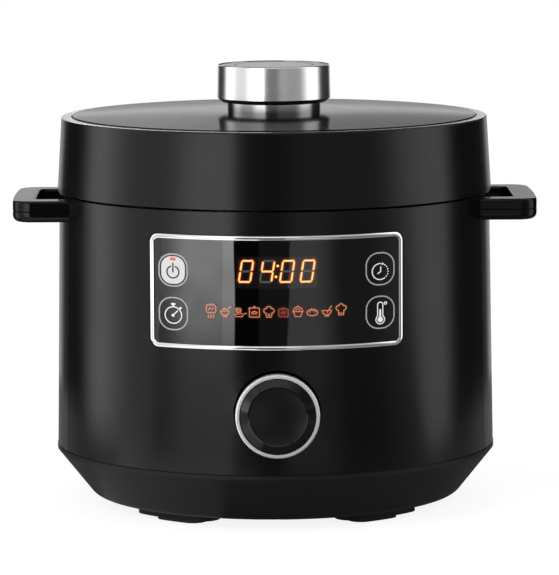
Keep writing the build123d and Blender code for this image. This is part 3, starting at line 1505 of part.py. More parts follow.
def driver_plate():
    """Spoked plate that carries the lock ring on the spindle."""
    outer = LOCK_OUTER - DRIVER_RIM_MARGIN
    inner = LOCK_BORE - LOCK_FLANGE_WIDTH
    plate = tube(outer, inner, DRIVER_LOW, DRIVER_TOP)
    plate += rod(DRIVER_HUB_RADIUS, DRIVER_LOW, DRIVER_TOP + DRIVER_HUB_HEIGHT)
    half = DRIVER_SPOKE_WIDTH / 2
    for i in range(DRIVER_SPOKE_COUNT):
        turn = Rot(0, 0, DRIVER_SPOKE_ANGLE + 360.0 * i / DRIVER_SPOKE_COUNT)
        plate += turn * block(0, (outer + inner) / 2, -half, half, DRIVER_LOW, DRIVER_TOP)
    return plate - rod(SPINDLE_RADIUS, DRIVER_LOW, BUSH_LOW)


def lock_spindle():
    """Shaft from the driver plate up into the knob, with a nut under the plate."""
    nut = rod(SPINDLE_NUT_RADIUS, DRIVER_LOW - SPINDLE_NUT_HEIGHT, DRIVER_LOW)
    return nut + rod(SPINDLE_RADIUS, DRIVER_LOW, SPINDLE_TOP)


def knob_core():
    """Black inside of the knob: tapered foot, hollow body and a socket for the spindle."""
    wide = KNOB_RADIUS + KNOB_DRAFT
    foot = wide - KNOB_FOOT_TAPER
    socket = SPINDLE_RADIUS + KNOB_SOCKET_WALL
    hollow = KNOB_CORE_RADIUS - KNOB_CORE_WALL
    ceiling = KNOB_CORE_TOP - KNOB_CORE_WALL
    return turned(
        [
            (hollow, KNOB_LOW),
            (foot, KNOB_LOW),
            (wide, KNOB_SLEEVE_LOW),
            (KNOB_CORE_RADIUS, KNOB_SLEEVE_LOW),
            (KNOB_CORE_RADIUS, KNOB_CORE_TOP),
            (0, KNOB_CORE_TOP),
            (0, SPINDLE_TOP),
            (SPINDLE_RADIUS, SPINDLE_TOP),
            (SPINDLE_RADIUS, KNOB_LOW),
            (socket, KNOB_LOW),
            (socket, ceiling),
            (hollow, ceiling),
        ]
    )


def knob_sleeve():
    """Bright sleeve round the knob."""
    return turned(
        [
            (KNOB_CORE_RADIUS, KNOB_SLEEVE_LOW),
            (KNOB_RADIUS + KNOB_DRAFT, KNOB_SLEEVE_LOW),
            (KNOB_RADIUS, KNOB_TOP),
            (KNOB_CORE_RADIUS, KNOB_TOP),
        ],
        [0, 0, KNOB_EDGE_ROUND, 0],
    )


def knob_cap():
    """Top plate of the knob, with a ring groove."""
    high = KNOB_TOP - KNOB_CAP_DROP
    cap = rod(KNOB_CORE_RADIUS, KNOB_CORE_TOP, high)
    outer = KNOB_GROOVE_RADIUS + KNOB_GROOVE_WIDTH
    return cap - tube(outer, KNOB_GROOVE_RADIUS, high - KNOB_GROOVE_DEPTH, high)


# Valves
def pipe_top():
    """Height of the vent pipe's upper end."""
    return valve_seat_top() + PIPE_LENGTH_ABOVE_SEAT


def vent_pipe():
    """Pipe from the inner lid to the valve's seat, with a flange under the inner lid."""
    x, y = valve_place()
    low = INNER_LID_ROOF - PIPE_FLANGE_THICKNESS
    pipe = rod(PIPE_RADIUS, low, pipe_top(), x, y) + rod(PIPE_FLANGE_RADIUS, low, INNER_LID_ROOF, x, y)
    return pipe - rod(PIPE_RADIUS - PIPE_WALL, low, pipe_top(), x, y)


def steam_filter():
    """Slotted cup under the inner lid that keeps food out of the vent pipe."""
    x, y = valve_place()
    low = INNER_LID_ROOF - FILTER_HEIGHT
    cup = rod(FILTER_RADIUS, low, INNER_LID_ROOF)
    cup -= rod(FILTER_RADIUS - FILTER_WALL, low + FILTER_WALL, INNER_LID_ROOF)
    half = FILTER_SLOT_WIDTH / 2
    for i in range(FILTER_SLOT_COUNT):
        turn = Rot(0, 0, 360.0 * i / FILTER_SLOT_COUNT)
        top = INNER_LID_ROOF - 2 * FILTER_WALL
        cup -= turn * block(FILTER_RADIUS / 2, 2 * FILTER_RADIUS, -half, half, low + 2 * FILTER_WALL, top)
    return Pos(x, y, 0) * cup


def steam_valve():
    """Turning valve cap over the vent pipe, with a finger bar."""
    x, y = valve_place()
    low = valve_seat_top() + VALVE_GAP
    shoulder = low + VALVE_HEIGHT
    cap = turned(
        [
            (0, low),
            (VALVE_RADIUS, low),
            (VALVE_RADIUS, shoulder),
            (0, shoulder),
        ],
        [0, 0, VALVE_EDGE_ROUND, 0],
    )
    bar = SlotOverall(2 * VALVE_RADIUS, VALVE_GRIP_WIDTH)
    cap += Pos(0, 0, low) * extrude(bar, amount=VALVE_HEIGHT + VALVE_GRIP_HEIGHT)
    cap -= rod(PIPE_RADIUS + PIPE_CLEARANCE, low, pipe_top() + VALVE_GAP)
    return Pos(x, y, 0) * cap


def float_pin():
    """Pin that rises through the lid under pressure, with a head below the inner lid."""
    x, y = float_place()
    head_top = INNER_LID_ROOF - FLOAT_DROP
    pin_top = dome_height(VALVE_RING_RADIUS) - FLOAT_TOP_DROP
    head = rod(FLOAT_HEAD_RADIUS, head_top - FLOAT_HEAD_HEIGHT, head_top, x, y)
    return head + rod(FLOAT_RADIUS, head_top, pin_top, x, y)


def build_pieces():
    """Every piece by name."""
    element = heating_element()
    upper = handle_upper()
    lower = handle_lower()
    pieces = {
        "base_pan": base_pan(),
        "foot_pads": foot_pads(),
        "base_screws": base_screws(),
        "well_stands": well_stands(),
        "front_shell": front_shell(),
        "rear_shell": rear_shell(),
        "top_collar": top_collar(),
        "lock_collar": lock_collar(),
        "inner_well": inner_well(),
        "heating_element": element,
        "heating_plate": heating_plate(element),
        "sensor_cap": sensor_cap(),
        "sensor_spring": sensor_spring(),
        "sensor_holder": sensor_holder(),
        "inner_pot": inner_pot(),
        "power_board": power_board(),
        "control_board": control_board(),
        "display_module": display_module(),
        "panel_frame": panel_frame(),
        "panel_window": panel_window(),
        "panel_carrier": panel_carrier(),
        "button_rings": button_rings(),
        "dial_ring": dial_ring(),
        "dial_knob": dial_knob(),
        "dial_shaft": dial_shaft(),
        "dial_slider": dial_slider(),
        "dial_encoder": dial_encoder(),
        "dial_housing": dial_housing(),
        "right_handle_upper": upper,
        "right_handle_lower": lower,
        "left_handle_upper": mirrored(upper),
        "left_handle_lower": mirrored(lower),
        "handle_screws": handle_screws(),
        "mains_inlet": mains_inlet(),
        "inlet_pins": inlet_pins(),
        "condensate_cup": condensate_cup(),
        "cup_bracket": cup_bracket(),
        "lid_skirt": lid_skirt(),
        "lid_disc": lid_disc(),
        "lid_frame": lid_frame(),
        "lid_screws": lid_screws(),
        "knob_collar": knob_collar(),
        "spindle_bush": spindle_bush(),
        "inner_lid": inner_lid(),
        "lid_gasket": lid_gasket(),
        "lock_ring": lock_ring(),
        "driver_plate": driver_plate(),
        "lock_spindle": lock_spindle(),
        "knob_core": knob_core(),
        "knob_sleeve": knob_sleeve(),
        "knob_cap": knob_cap(),
        "vent_pipe": vent_pipe(),
        "steam_filter": steam_filter(),
        "steam_valve": steam_valve(),
        "float_pin": float_pin(),
    }
    for name, (x, z) in button_places().items():
        pieces[name + "_button"] = button(x, z)
    return pieces


os.makedirs("parts", exist_ok=True)
for piece_name, piece in build_pieces().items():
    export_step(piece, f"parts/{piece_name}.step")
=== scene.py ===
"""Looks of an electric pressure cooker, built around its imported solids."""
import logging
import math
from dataclasses import dataclass
from enum import Enum
from typing import Any, Callable, Iterable, Mapping, Optional, Sequence, Union

import bmesh
import bpy
from bmesh.types import BMesh, BMVert
from bpy.types import ID, Material, Mesh, Node, NodeSocket, NodeTree, Object
from mathutils import Euler, Matrix, Vector
from mathutils.geometry import delaunay_2d_cdt


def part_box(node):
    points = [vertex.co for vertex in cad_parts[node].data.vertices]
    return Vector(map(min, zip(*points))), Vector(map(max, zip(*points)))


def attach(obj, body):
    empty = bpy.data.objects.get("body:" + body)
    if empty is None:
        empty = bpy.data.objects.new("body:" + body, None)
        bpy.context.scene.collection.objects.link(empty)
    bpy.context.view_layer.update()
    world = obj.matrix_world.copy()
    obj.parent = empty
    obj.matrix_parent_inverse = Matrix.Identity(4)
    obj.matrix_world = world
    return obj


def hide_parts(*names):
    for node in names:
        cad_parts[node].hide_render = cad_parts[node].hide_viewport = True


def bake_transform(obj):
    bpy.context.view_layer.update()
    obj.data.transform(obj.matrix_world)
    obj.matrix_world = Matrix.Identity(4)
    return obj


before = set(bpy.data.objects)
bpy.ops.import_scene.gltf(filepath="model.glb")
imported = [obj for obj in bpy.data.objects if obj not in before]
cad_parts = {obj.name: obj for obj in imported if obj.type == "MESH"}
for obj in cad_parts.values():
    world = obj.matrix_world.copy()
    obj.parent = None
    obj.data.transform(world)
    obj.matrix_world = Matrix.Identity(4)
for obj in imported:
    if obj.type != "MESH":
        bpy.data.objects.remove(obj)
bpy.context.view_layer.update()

LOG = logging.getLogger("cooker")
MM = 0.001
SAME_POINT = 1e-7
NEAR_POINT = 1e-6
CORNER_STEPS = 8
END_BENDS = (30, 55, 75, 86)
DOT_HALF = 0.01
SCREW_CREASE = 50.0

Colour = tuple[float, float, float]
Flat = tuple[float, float]
Place = Callable[[float, float, float], Vector]
Number = Union["Value", float]


class Value:
    """One output socket that takes part in Python arithmetic by adding Math nodes."""

    def __init__(self, graph: "Graph", socket: NodeSocket) -> None:
        """Wraps a socket of a graph."""
        self.graph = graph
        self.socket = socket

    def __add__(self, other: Number) -> "Value":
        """Sum."""
        return self.graph.math("ADD", self, other)

    def __radd__(self, other: Number) -> "Value":
        """Sum, from the right."""
        return self.graph.math("ADD", other, self)

    def __sub__(self, other: Number) -> "Value":
        """Difference."""
        return self.graph.math("SUBTRACT", self, other)

    def __rsub__(self, other: Number) -> "Value":
        """Difference, from the right."""
        return self.graph.math("SUBTRACT", other, self)

    def __mul__(self, other: Number) -> "Value":
        """Product."""
        return self.graph.math("MULTIPLY", self, other)

    def __rmul__(self, other: Number) -> "Value":
        """Product, from the right."""
        return self.graph.math("MULTIPLY", other, self)

    def __pow__(self, other: Number) -> "Value":
        """Power."""
        return self.graph.math("POWER", self, other)

    def span(self, low: float, high: float) -> "Value":
        """Rises smoothly from 0 at low to 1 at high."""
        ends = {"Value": self, "From Min": low, "From Max": high}
        return self.graph.value("ShaderNodeMapRange", {"interpolation_type": "SMOOTHSTEP"}, ends)

    def band(self, low: float, high: float, soft: float) -> "Value":
        """Is 1 between low and high, with soft borders."""
        return self.span(low - soft, low + soft) * (1 - self.span(high - soft, high + soft))

    def highest(self, other: Number) -> "Value":
        """The larger of two values."""
        return self.graph.math("MAXIMUM", self, other)


class Graph:
    """A node tree that is written as Python expressions."""

    def __init__(self, tree: NodeTree) -> None:
        """Empties a tree and keeps it."""
        self.tree = tree
        tree.nodes.clear()

    def node(self, kind: str, settings: Optional[Mapping[str, Any]] = None,
             inputs: Optional[Mapping[Union[str, int], Any]] = None) -> Node:
        """Adds one node.

        Args:
            kind: the node's type.
            settings: its properties.
            inputs: numbers, colours or links by socket.

        Returns:
            The node.
        """
        made = self.tree.nodes.new(kind)
        for name, setting in (settings or {}).items():
            setattr(made, name, setting)
        self.feed(made, inputs or {})
        return made

    def feed(self, node: Node, inputs: Mapping[Union[str, int], Any]) -> None:
        """Sets or links a node's inputs.

        Args:
            node: the node.
            inputs: numbers, colours or links by socket.
        """
        for key, given in inputs.items():
            if isinstance(given, Value):
                self.tree.links.new(given.socket, node.inputs[key])
            else:
                node.inputs[key].default_value = given

    def value(self, kind: str, settings: Optional[Mapping[str, Any]] = None,
              inputs: Optional[Mapping[Union[str, int], Any]] = None,
              output: Union[str, int] = 0) -> Value:
        """Adds one node and gives one of its outputs."""
        return Value(self, self.node(kind, settings, inputs).outputs[output])

    def math(self, operation: str, *terms: Number) -> Value:
        """Adds a Math node."""
        return self.value("ShaderNodeMath", {"operation": operation}, dict(enumerate(terms)))

    def place(self) -> Value:
        """The point on the piece, in metres."""
        return self.value("ShaderNodeTexCoord", output="Object")

    def split(self, vector: Value) -> tuple[Value, Value, Value]:
        """A vector's three numbers."""
        x, y, z = self.node("ShaderNodeSeparateXYZ", inputs={0: vector}).outputs
        return Value(self, x), Value(self, y), Value(self, z)

    def vector(self, x: Number, y: Number, z: Number) -> Value:
        """A vector from three numbers."""
        return self.value("ShaderNodeCombineXYZ", inputs={0: x, 1: y, 2: z})

    def noise(self, place: Value, grain: float, detail: float = 2.0) -> Value:
        """Soft noise between 0 and 1.

        Args:
            place: where it is read.
            grain: the size of its spots in millimetres.
            detail: how many finer layers it has.

        Returns:
            The noise.
        """
        return self.value("ShaderNodeTexNoise", inputs={"Vector": place, "Scale": 1 / (grain * MM),
                                                       "Detail": detail})

    def mix(self, share: Number, first: Any, second: Any) -> Value:
        """A colour between two colours."""
        return self.value("ShaderNodeMix", {"data_type": "RGBA"}, {0: share, 6: first, 7: second}, 2)

    def bump(self, height: Value, depth: float, strength: float = 1.0) -> Value:
        """A normal that rises with a height of so many millimetres."""
        return self.value("ShaderNodeBump", inputs={"Height": height, "Distance": depth * MM,
                                                    "Strength": strength})


def put(name: str, content: ID) -> Object:
    """Adds a mesh, lamp or camera to the scene.

    Args:
        name: the object's name.
        content: what it shows.

    Returns:
        The object.
    """
    made = bpy.data.objects.new(name, content)
    bpy.context.scene.collection.objects.link(made)
    return made


def rgba(colour: Colour, gain: float = 1.0) -> tuple[float, float, float, float]:
    """A colour with its gain and full alpha."""
    return (colour[0] * gain, colour[1] * gain, colour[2] * gain, 1.0)


def grey(level: float) -> Colour:
    """A neutral colour."""
    return (level, level, level)


class Lay(Enum):
    """How the fine lines of a worked metal run."""

    ROUND = "round the upright axis"
    TURNED = "in rings about the upright axis"
    FACING = "in rings about the dial's axis"
    LOOSE = "without direction"


@dataclass(frozen=True)
class Finish:
    """A surface finish with a colour and a roughness.

    Its material is made once and shared by every piece that has the finish.
    """

    name: str
    colour: Colour
    roughness: float

    def material(self) -> Material:
        """Gives the finish's material.

        Returns:
            The shared material.
        """
        if self not in MATERIALS:
            made = bpy.data.materials.new(self.name)
            made.use_nodes = True
            graph = Graph(made.node_tree)
            shader = graph.node("ShaderNodeBsdfPrincipled", inputs={"Base Color": rgba(self.colour),
                                                                    "Roughness": self.roughness})
            graph.node("ShaderNodeOutputMaterial", inputs={"Surface": Value(graph, shader.outputs[0])})
            self.dress(graph, shader)
            MATERIALS[self] = made
        return MATERIALS[self]

    def dress(self, graph: Graph, shader: Node) -> None:
        """Adds what makes the finish its own."""


MATERIALS: dict[Finish, Material] = {}


@dataclass(frozen=True)
class Moulding(Finish):
    """Moulded plastic, rubber or silicone with a fine eroded grain."""

    grain: float = 0.5
    depth: float = 0.01
    mottle: float = 0.08
    specular: float = 0.5
    clear: float = 0.0
    brushed: float = 0.0
    coat: float = 0.0
    coat_haze: float = 0.05
    PATCH = 45
    PATCH_GLOSS = 0.08
    GRAIN_GLOSS = 0.1
    BRUSH_LINE = 0.6
    BRUSH_DRAW = 0.015

    def dress(self, graph: Graph, shader: Node) -> None:
        """Adds the grain, a faint mottle, uneven gloss, any level brushing and any lacquer.

        Args:
            graph: the nodes of the material.
            shader: the surface shader that they feed.
        """
        place = graph.place()
        fine = graph.noise(place, self.grain, 3)
        broad = graph.noise(place, self.PATCH, 2)
        gloss = self.roughness + (broad - 0.5) * self.PATCH_GLOSS + (fine - 0.5) * self.GRAIN_GLOSS
        if self.brushed:
            x, y, z = graph.split(place)
            drawn = graph.vector(x * self.BRUSH_DRAW, y * self.BRUSH_DRAW, z)
            gloss = gloss + (graph.noise(drawn, self.BRUSH_LINE, 4) - 0.5) * self.brushed
        dark, light = rgba(self.colour, 1 - self.mottle), rgba(self.colour, 1 + self.mottle)
        graph.feed(shader, {
            "Base Color": graph.mix(broad, dark, light),
            "Roughness": gloss,
            "Normal": graph.bump(fine, self.depth),
            "Specular IOR Level": self.specular,
            "Transmission Weight": self.clear,
            "Coat Weight": self.coat,
            "Coat Roughness": self.coat_haze,
        })


@dataclass(frozen=True)
class Gloss(Finish):
    """Polished plastic or lacquer with a little haze."""

    specular: float = 0.5
    wave: float = 0.0
    HAZE_PATCH = 30
    HAZE_GLOSS = 0.03
    FLECK = 0.8
    FLECK_EDGE = (0.68, 0.8)
    FLECK_SHARE = 0.3
    FLECK_GAIN = 1.5
    FLECK_GLOSS = 0.02
    WAVE_LENGTH = 55

    def dress(self, graph: Graph, shader: Node) -> None:
        """Adds haze and any waviness, which change slowly over the surface.

        Args:
            graph: the nodes of the material.
            shader: the surface shader that they feed.
        """
        place = graph.place()
        haze = graph.noise(place, self.HAZE_PATCH, 4)
        fleck = graph.noise(place, self.FLECK, 1).span(*self.FLECK_EDGE)
        light = rgba(self.colour, self.FLECK_GAIN)
        graph.feed(shader, {
            "Base Color": graph.mix(fleck * self.FLECK_SHARE, rgba(self.colour), light),
            "Roughness": self.roughness + haze * self.HAZE_GLOSS + fleck * self.FLECK_GLOSS,
            "Specular IOR Level": self.specular,
        })
        if self.wave:
            swell = graph.noise(place, self.WAVE_LENGTH, 1)
            graph.feed(shader, {"Normal": graph.bump(swell, self.wave)})


def dial_radius(graph: Graph) -> Value:
    """The distance from the dial's axis, in metres.

    Args:
        graph: the nodes of the material.

    Returns:
        The distance.
    """
    x, _, z = graph.split(graph.place())
    rise = z - DIAL_HEIGHT * MM
    return (x * x + rise * rise) ** 0.5


@dataclass(frozen=True)
class DialPlastic(Finish):
    """Black plastic of the dial: a polished shoulder round a matt dished face."""

    dish: float = 19.7
    matt: float = 0.3
    specular: float = 0.4
    EDGE = 0.2
    GRAIN = 0.5
    GRAIN_GLOSS = 0.04
    GRAIN_DEPTH = 0.002

    def dress(self, graph: Graph, shader: Node) -> None:
        """Changes the gloss at the dish's edge and adds the matt face's grain.

        Args:
            graph: the nodes of the material.
            shader: the surface shader that they feed.
        """
        inside = 1 - dial_radius(graph).span((self.dish - self.EDGE) * MM, (self.dish + self.EDGE) * MM)
        grain = graph.noise(graph.place(), self.GRAIN, 3)
        gloss = self.roughness + inside * (self.matt - self.roughness)
        graph.feed(shader, {
            "Roughness": gloss + (grain - 0.5) * self.GRAIN_GLOSS,
            "Normal": graph.bump(grain * inside, self.GRAIN_DEPTH),
            "Specular IOR Level": self.specular,
        })


@dataclass(frozen=True)
class Metal(Finish):
    """Bare or plated metal with fine working lines, with painted shade: dull black above a given height or
    inside a given radius.
    """

    lay: Lay = Lay.LOOSE
    line: float = 0.25
    uneven: float = 0.1
    depth: float = 0.002
    shade_brim: float = 0.0
    shade_bore: float = 0.0
    DRAW = 0.02
    TARNISH = 25
    TARNISH_TONES = (0.94, 1.03)
    TARNISH_GLOSS = 0.04
    FADE = 0.1
    BLACK = grey(0.01)
    BLACK_HAZE = 0.6

    def lines(self, graph: Graph) -> Value:
        """The pattern of the working lines.

        Args:
            graph: the nodes of the material.

        Returns:
            The height of the lines, between 0 and 1.
        """
        place = graph.place()
        x, y, z = graph.split(place)
        if self.lay is Lay.ROUND:
            place = graph.vector(x * self.DRAW, y * self.DRAW, z)
        elif self.lay is Lay.TURNED:
            place = graph.vector((x * x + y * y) ** 0.5, z, 0.0)
        elif self.lay is Lay.FACING:
            place = graph.vector(dial_radius(graph), y, 0.0)
        return graph.noise(place, self.line, 3)

    def dress(self, graph: Graph, shader: Node) -> None:
        """Adds the working lines, slow tarnish and any painted shade.

        Args:
            graph: the nodes of the material.
            shader: the surface shader that they feed.
        """
        lines = self.lines(graph)
        tarnish = graph.noise(graph.place(), self.TARNISH, 3)
        bare = graph.mix(tarnish, *[rgba(self.colour, tone) for tone in self.TARNISH_TONES])
        gloss = self.roughness + (lines - 0.5) * self.uneven + (tarnish - 0.5) * self.TARNISH_GLOSS
        # painted shade: dull black is mixed into the metal where it would lie in shade
        black = self.painted_shade(graph)
        graph.feed(shader, {
            "Metallic": 1.0 if black is None else 1 - black,
            "Base Color": bare if black is None else graph.mix(black, bare, rgba(self.BLACK)),
            "Roughness": gloss if black is None else gloss + black * self.BLACK_HAZE,
            "Normal": graph.bump(lines, self.depth),
        })

    def painted_shade(self, graph: Graph) -> Optional[Value]:
        """Where shade is painted on the metal as dull black: above a given height, or inside a given radius
        about the dial's axis.

        Args:
            graph: the nodes of the material.

        Returns:
            The share of painted shade, or nothing where the metal has none.
        """
        if self.shade_brim:
            _, _, z = graph.split(graph.place())
            return z.span((self.shade_brim - self.FADE) * MM, self.shade_brim * MM)
        if self.shade_bore:
            return 1 - dial_radius(graph).span((self.shade_bore - self.FADE) * MM, (self.shade_bore + self.FADE) * MM)
        return None


@dataclass(frozen=True)
class PotCoating(Finish):
    """Speckled non-stick coating inside a spun aluminium pot."""

    inside: float = 107.0
    outside: Colour = grey(0.62)
    EDGE = 0.2
    FLOOR = (0.061, 0.0615)
    SPECKS = 420.0
    SPECK_EDGE = (0.1, 0.2)
    SPECK_COLOUR = grey(0.16)
    SPUN = 0.3
    SPUN_LINE = 0.4
    SPUN_GLOSS = 0.12
    DEPTH = 0.006

    def dress(self, graph: Graph, shader: Node) -> None:
        """Coats what lies inside the wall and leaves the rest spun metal.

        Args:
            graph: the nodes of the material.
            shader: the surface shader that they feed.
        """
        place = graph.place()
        x, y, z = graph.split(place)
        radius = (x * x + y * y) ** 0.5
        within = 1 - radius.span((self.inside - self.EDGE) * MM, (self.inside + self.EDGE) * MM)
        coated = within * z.span(*self.FLOOR)
        speck = graph.value("ShaderNodeTexVoronoi", inputs={"Vector": place, "Scale": self.SPECKS})
        light = 1 - speck.span(*self.SPECK_EDGE)
        rings = graph.noise(graph.vector(radius, z, 0.0), self.SPUN_LINE, 2)
        coat = graph.mix(light, rgba(self.colour), rgba(self.SPECK_COLOUR))
        graph.feed(shader, {
            "Base Color": graph.mix(coated, rgba(self.outside), coat),
            "Metallic": 1 - coated,
            "Roughness": coated * (self.roughness - self.SPUN) + self.SPUN + (rings - 0.5) * self.SPUN_GLOSS,
            "Normal": graph.bump(rings + light * coated, self.DEPTH),
        })


@dataclass(frozen=True)
class CircuitBoard(Finish):
    """Green solder mask over copper tracks."""

    pitch: float = 2.5
    LOOSENESS = 0.6
    TRACK = (0.35, 0.5, 0.03)
    COPPER_GAIN = 1.9
    COPPER_GLOSS = 0.1
    COPPER_HEIGHT = 0.04

    def dress(self, graph: Graph, shader: Node) -> None:
        """Adds the tracks as a raised, lighter network.

        Args:
            graph: the nodes of the material.
            shader: the surface shader that they feed.
        """
        place = graph.place()
        track = graph.value("ShaderNodeTexVoronoi", {"distance": "MANHATTAN", "feature": "F1"},
                            {"Vector": place, "Scale": 1 / (self.pitch * MM), "Randomness": self.LOOSENESS})
        copper = track.band(*self.TRACK)
        graph.feed(shader, {
            "Base Color": graph.mix(copper, rgba(self.colour), rgba(self.colour, self.COPPER_GAIN)),
            "Roughness": self.roughness + copper * self.COPPER_GLOSS,
            "Normal": graph.bump(copper, self.COPPER_HEIGHT),
        })


@dataclass(frozen=True)
class Light(Finish):
    """A lit mark behind the window: its own light over a printed ink."""

    shine: Colour = grey(1.0)
    strength: float = 1.0
    CLOUD = 4.0
    CLOUD_TONES = (0.86, 1.06)
    CLOUD_GLOSS = 0.05

    def dress(self, graph: Graph, shader: Node) -> None:
        """Adds light that is a little uneven, as from small lamps behind a diffuser.

        Args:
            graph: the nodes of the material.
            shader: the surface shader that they feed.
        """
        cloud = graph.noise(graph.place(), self.CLOUD, 1)
        graph.feed(shader, {
            "Emission Color": graph.mix(cloud, *[rgba(self.shine, tone) for tone in self.CLOUD_TONES]),
            "Emission Strength": self.strength,
            "Roughness": self.roughness + cloud * self.CLOUD_GLOSS,
        })


@dataclass(frozen=True)
class Glow(Finish):
    """Light that is strongest along a mark's middle and fades to its edge."""

    middle: Colour = grey(1.0)
    edge: Colour = grey(0.0)
    specular: float = 1.0
    CLOUD = 3.0
    STEADY = 0.8
    UNEVEN = 0.4

    def dress(self, graph: Graph, shader: Node) -> None:
        """Fades the light with the piece's own glow attribute.

        Args:
            graph: the nodes of the material.
            shader: the surface shader that they feed.
        """
        glow = graph.value("ShaderNodeAttribute", {"attribute_name": "glow"}, output="Fac")
        cloud = graph.noise(graph.place(), self.CLOUD, 1)
        share = glow * (self.STEADY + cloud * self.UNEVEN)
        graph.feed(shader, {
            "Emission Color": graph.mix(share, rgba(self.edge), rgba(self.middle)),
            "Emission Strength": 1.0,
            "Specular IOR Level": self.specular,
        })


DIAL_HEIGHT = 84.9
DEGREES = 180 / math.pi
SLEEVE_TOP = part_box("knob_sleeve")[1].z / MM
SATIN_BLACK = Moulding("satin_black_shell", grey(0.0015), 0.21, 0.4, 0.0015, specular=0.32, brushed=0.08)
LID_SATIN = Moulding("lid_top_satin", grey(0.003), 0.4, 0.35, 0.001, specular=0.0, coat=0.43,
                     coat_haze=0.11)
REAR_SATIN = Moulding("rear_shell_satin", grey(0.0015), 0.21, 0.4, 0.0015, specular=0.55, brushed=0.08)
BASE_MATT = Moulding("base_matt", grey(0.011), 0.42, 0.5, 0.004, specular=0.2)
# painted shade: dead matt black that stands in for the shade inside the knob's groove
GROOVE_SHADE = Moulding("groove_painted_shade", grey(0.006), 0.9, 0.5, 0.002, specular=0.0)
HANDLE_GRAIN = Moulding("handle_grain", grey(0.0015), 0.4, 0.6, 0.0015, specular=0.0, coat=0.45,
                        coat_haze=0.15)
INNER_BLACK = Moulding("inner_black", grey(0.014), 0.5, 0.6, 0.012)
KNOB_TOP = Moulding("knob_top_satin", grey(0.03), 0.4, 0.3, 0.002, specular=0.0, coat=0.55,
                    coat_haze=0.15)
DIAL_BLACK = DialPlastic("dial_black", grey(0.0015), 0.06, specular=0.38)
RUBBER = Moulding("foot_rubber", grey(0.018), 0.75, 0.9, 0.03)
SILICONE = Moulding("seal_silicone", (0.62, 0.62, 0.6), 0.5, 1.2, 0.01, mottle=0.03, clear=0.25)
ACETAL = Moulding("white_acetal", (0.72, 0.71, 0.68), 0.45, 0.8, 0.008, mottle=0.03)
MODULE_BLACK = Moulding("module_black", grey(0.02), 0.55, 0.8, 0.012)
SMOKE = Moulding("smoked_clear", (0.10, 0.10, 0.11), 0.12, 2.0, 0.002, mottle=0.02, clear=0.85)
WINDOW = Gloss("window_gloss", grey(0.001), 0.012, specular=0.8, wave=0.5)
KEY_DARK = Gloss("key_gloss", grey(0.001), 0.012, specular=0.8)
KEY_GAP = Moulding("key_gap_black", grey(0.008), 0.4, 0.4, 0.002)
KEY_LINE = Moulding("key_outline", grey(0.42), 0.35, 0.4, 0.001)
KEY_PRINT = Light("key_print", grey(0.6), 0.4, shine=grey(0.85), strength=0.4)
KEY_SYMBOL = Moulding("power_symbol_ink", grey(0.025), 0.5, 0.4, 0.002)
KEY_LIT = Light("key_lit", grey(0.5), 0.3, shine=(1.0, 0.99, 0.97), strength=0.2)
# painted shade: the chrome turns dull black just below the sleeve's top, a dark line in place of its rim
# highlight
CHROME = Metal("bright_chrome", grey(0.86), 0.2, Lay.ROUND, 0.3, 0.08, 0.0006, shade_brim=SLEEVE_TOP - 0.1)
# painted shade: dull black inside the ring's inner edge, a painted contact shadow
RING_CHROME = Metal("dial_ring_chrome", grey(0.96), 0.47, Lay.FACING, 0.25, 0.1, 0.001, shade_bore=26.3)
FRAME_CHROME = Metal("frame_chrome", (0.86, 0.87, 0.88), 0.1, Lay.ROUND, 0.3, 0.05, 0.0006)
SILVER = Metal("collar_silver", grey(0.68), 0.16, Lay.ROUND, 0.3, 0.1, 0.001)
STEEL = Metal("pressed_steel", grey(0.6), 0.3, Lay.TURNED, 0.4, 0.12, 0.002)
WIRE_STEEL = Metal("spring_steel", grey(0.5), 0.3, Lay.LOOSE, 0.3, 0.1, 0.002)
SCREW_STEEL = Metal("screw_zinc", (0.62, 0.63, 0.65), 0.32, Lay.LOOSE, 0.5, 0.12, 0.003)
CAST = Metal("cast_aluminium", grey(0.58), 0.5, Lay.LOOSE, 0.6, 0.2, 0.03)
BRASS = Metal("brass", (0.72, 0.52, 0.24), 0.28, Lay.LOOSE, 0.4, 0.1, 0.002)
POT = PotCoating("pot_coating", grey(0.02), 0.42)
BOARD = CircuitBoard("board_green", (0.012, 0.09, 0.035), 0.4)
DISPLAY_FACE = Gloss("display_face", grey(0.007), 0.02, specular=1.0)
DIGIT_DARK = Gloss("digit_unlit", grey(0.09), 0.05, specular=0.8)
DIGIT_LIT = Glow("digit_lit", grey(0.02), 0.2, (1.25, 0.92, 0.38), (1.1, 0.36, 0.04), specular=0.5)
DIGIT_HALO = Glow("digit_halo", grey(0.002), 0.012, middle=(0.22, 0.02, 0.002))
MARK_ORANGE = Light("programme_orange", grey(0.01), 0.2, shine=(0.86, 0.27, 0.1))
MARK_RED = Light("programme_red", grey(0.01), 0.2, shine=(0.42, 0.045, 0.03))
MARK_GLOW = Glow("programme_glow", grey(0.002), 0.012, middle=grey(0.0), edge=(0.045, 0.004, 0.001))
LAMP_RED = Light("power_lamp", grey(0.05), 0.2, shine=(0.72, 0.14, 0.04))


@dataclass(frozen=True)
class Wall:
    """The tapered upright wall of the housing, which carries the front's pieces."""

    foot_radius: float = 156.9
    foot_height: float = 42.7
    taper: float = 3.0
    height: float = 179.9

    def radius(self, z: float) -> float:
        """The wall's radius at a height."""
        return self.foot_radius - self.taper * (z - self.foot_height) / self.height

    def at(self, x: float, z: float, proud: float) -> Vector:
        """The point of the front wall behind a point of the front view.

        Args:
            x: millimetres to the right.
            z: height in millimetres.
            proud: millimetres outside the wall.

        Returns:
            The point in metres.
        """
        radius = self.radius(z) + proud
        return Vector((x, -math.sqrt(radius * radius - x * x), z)) * MM


WALL = Wall()


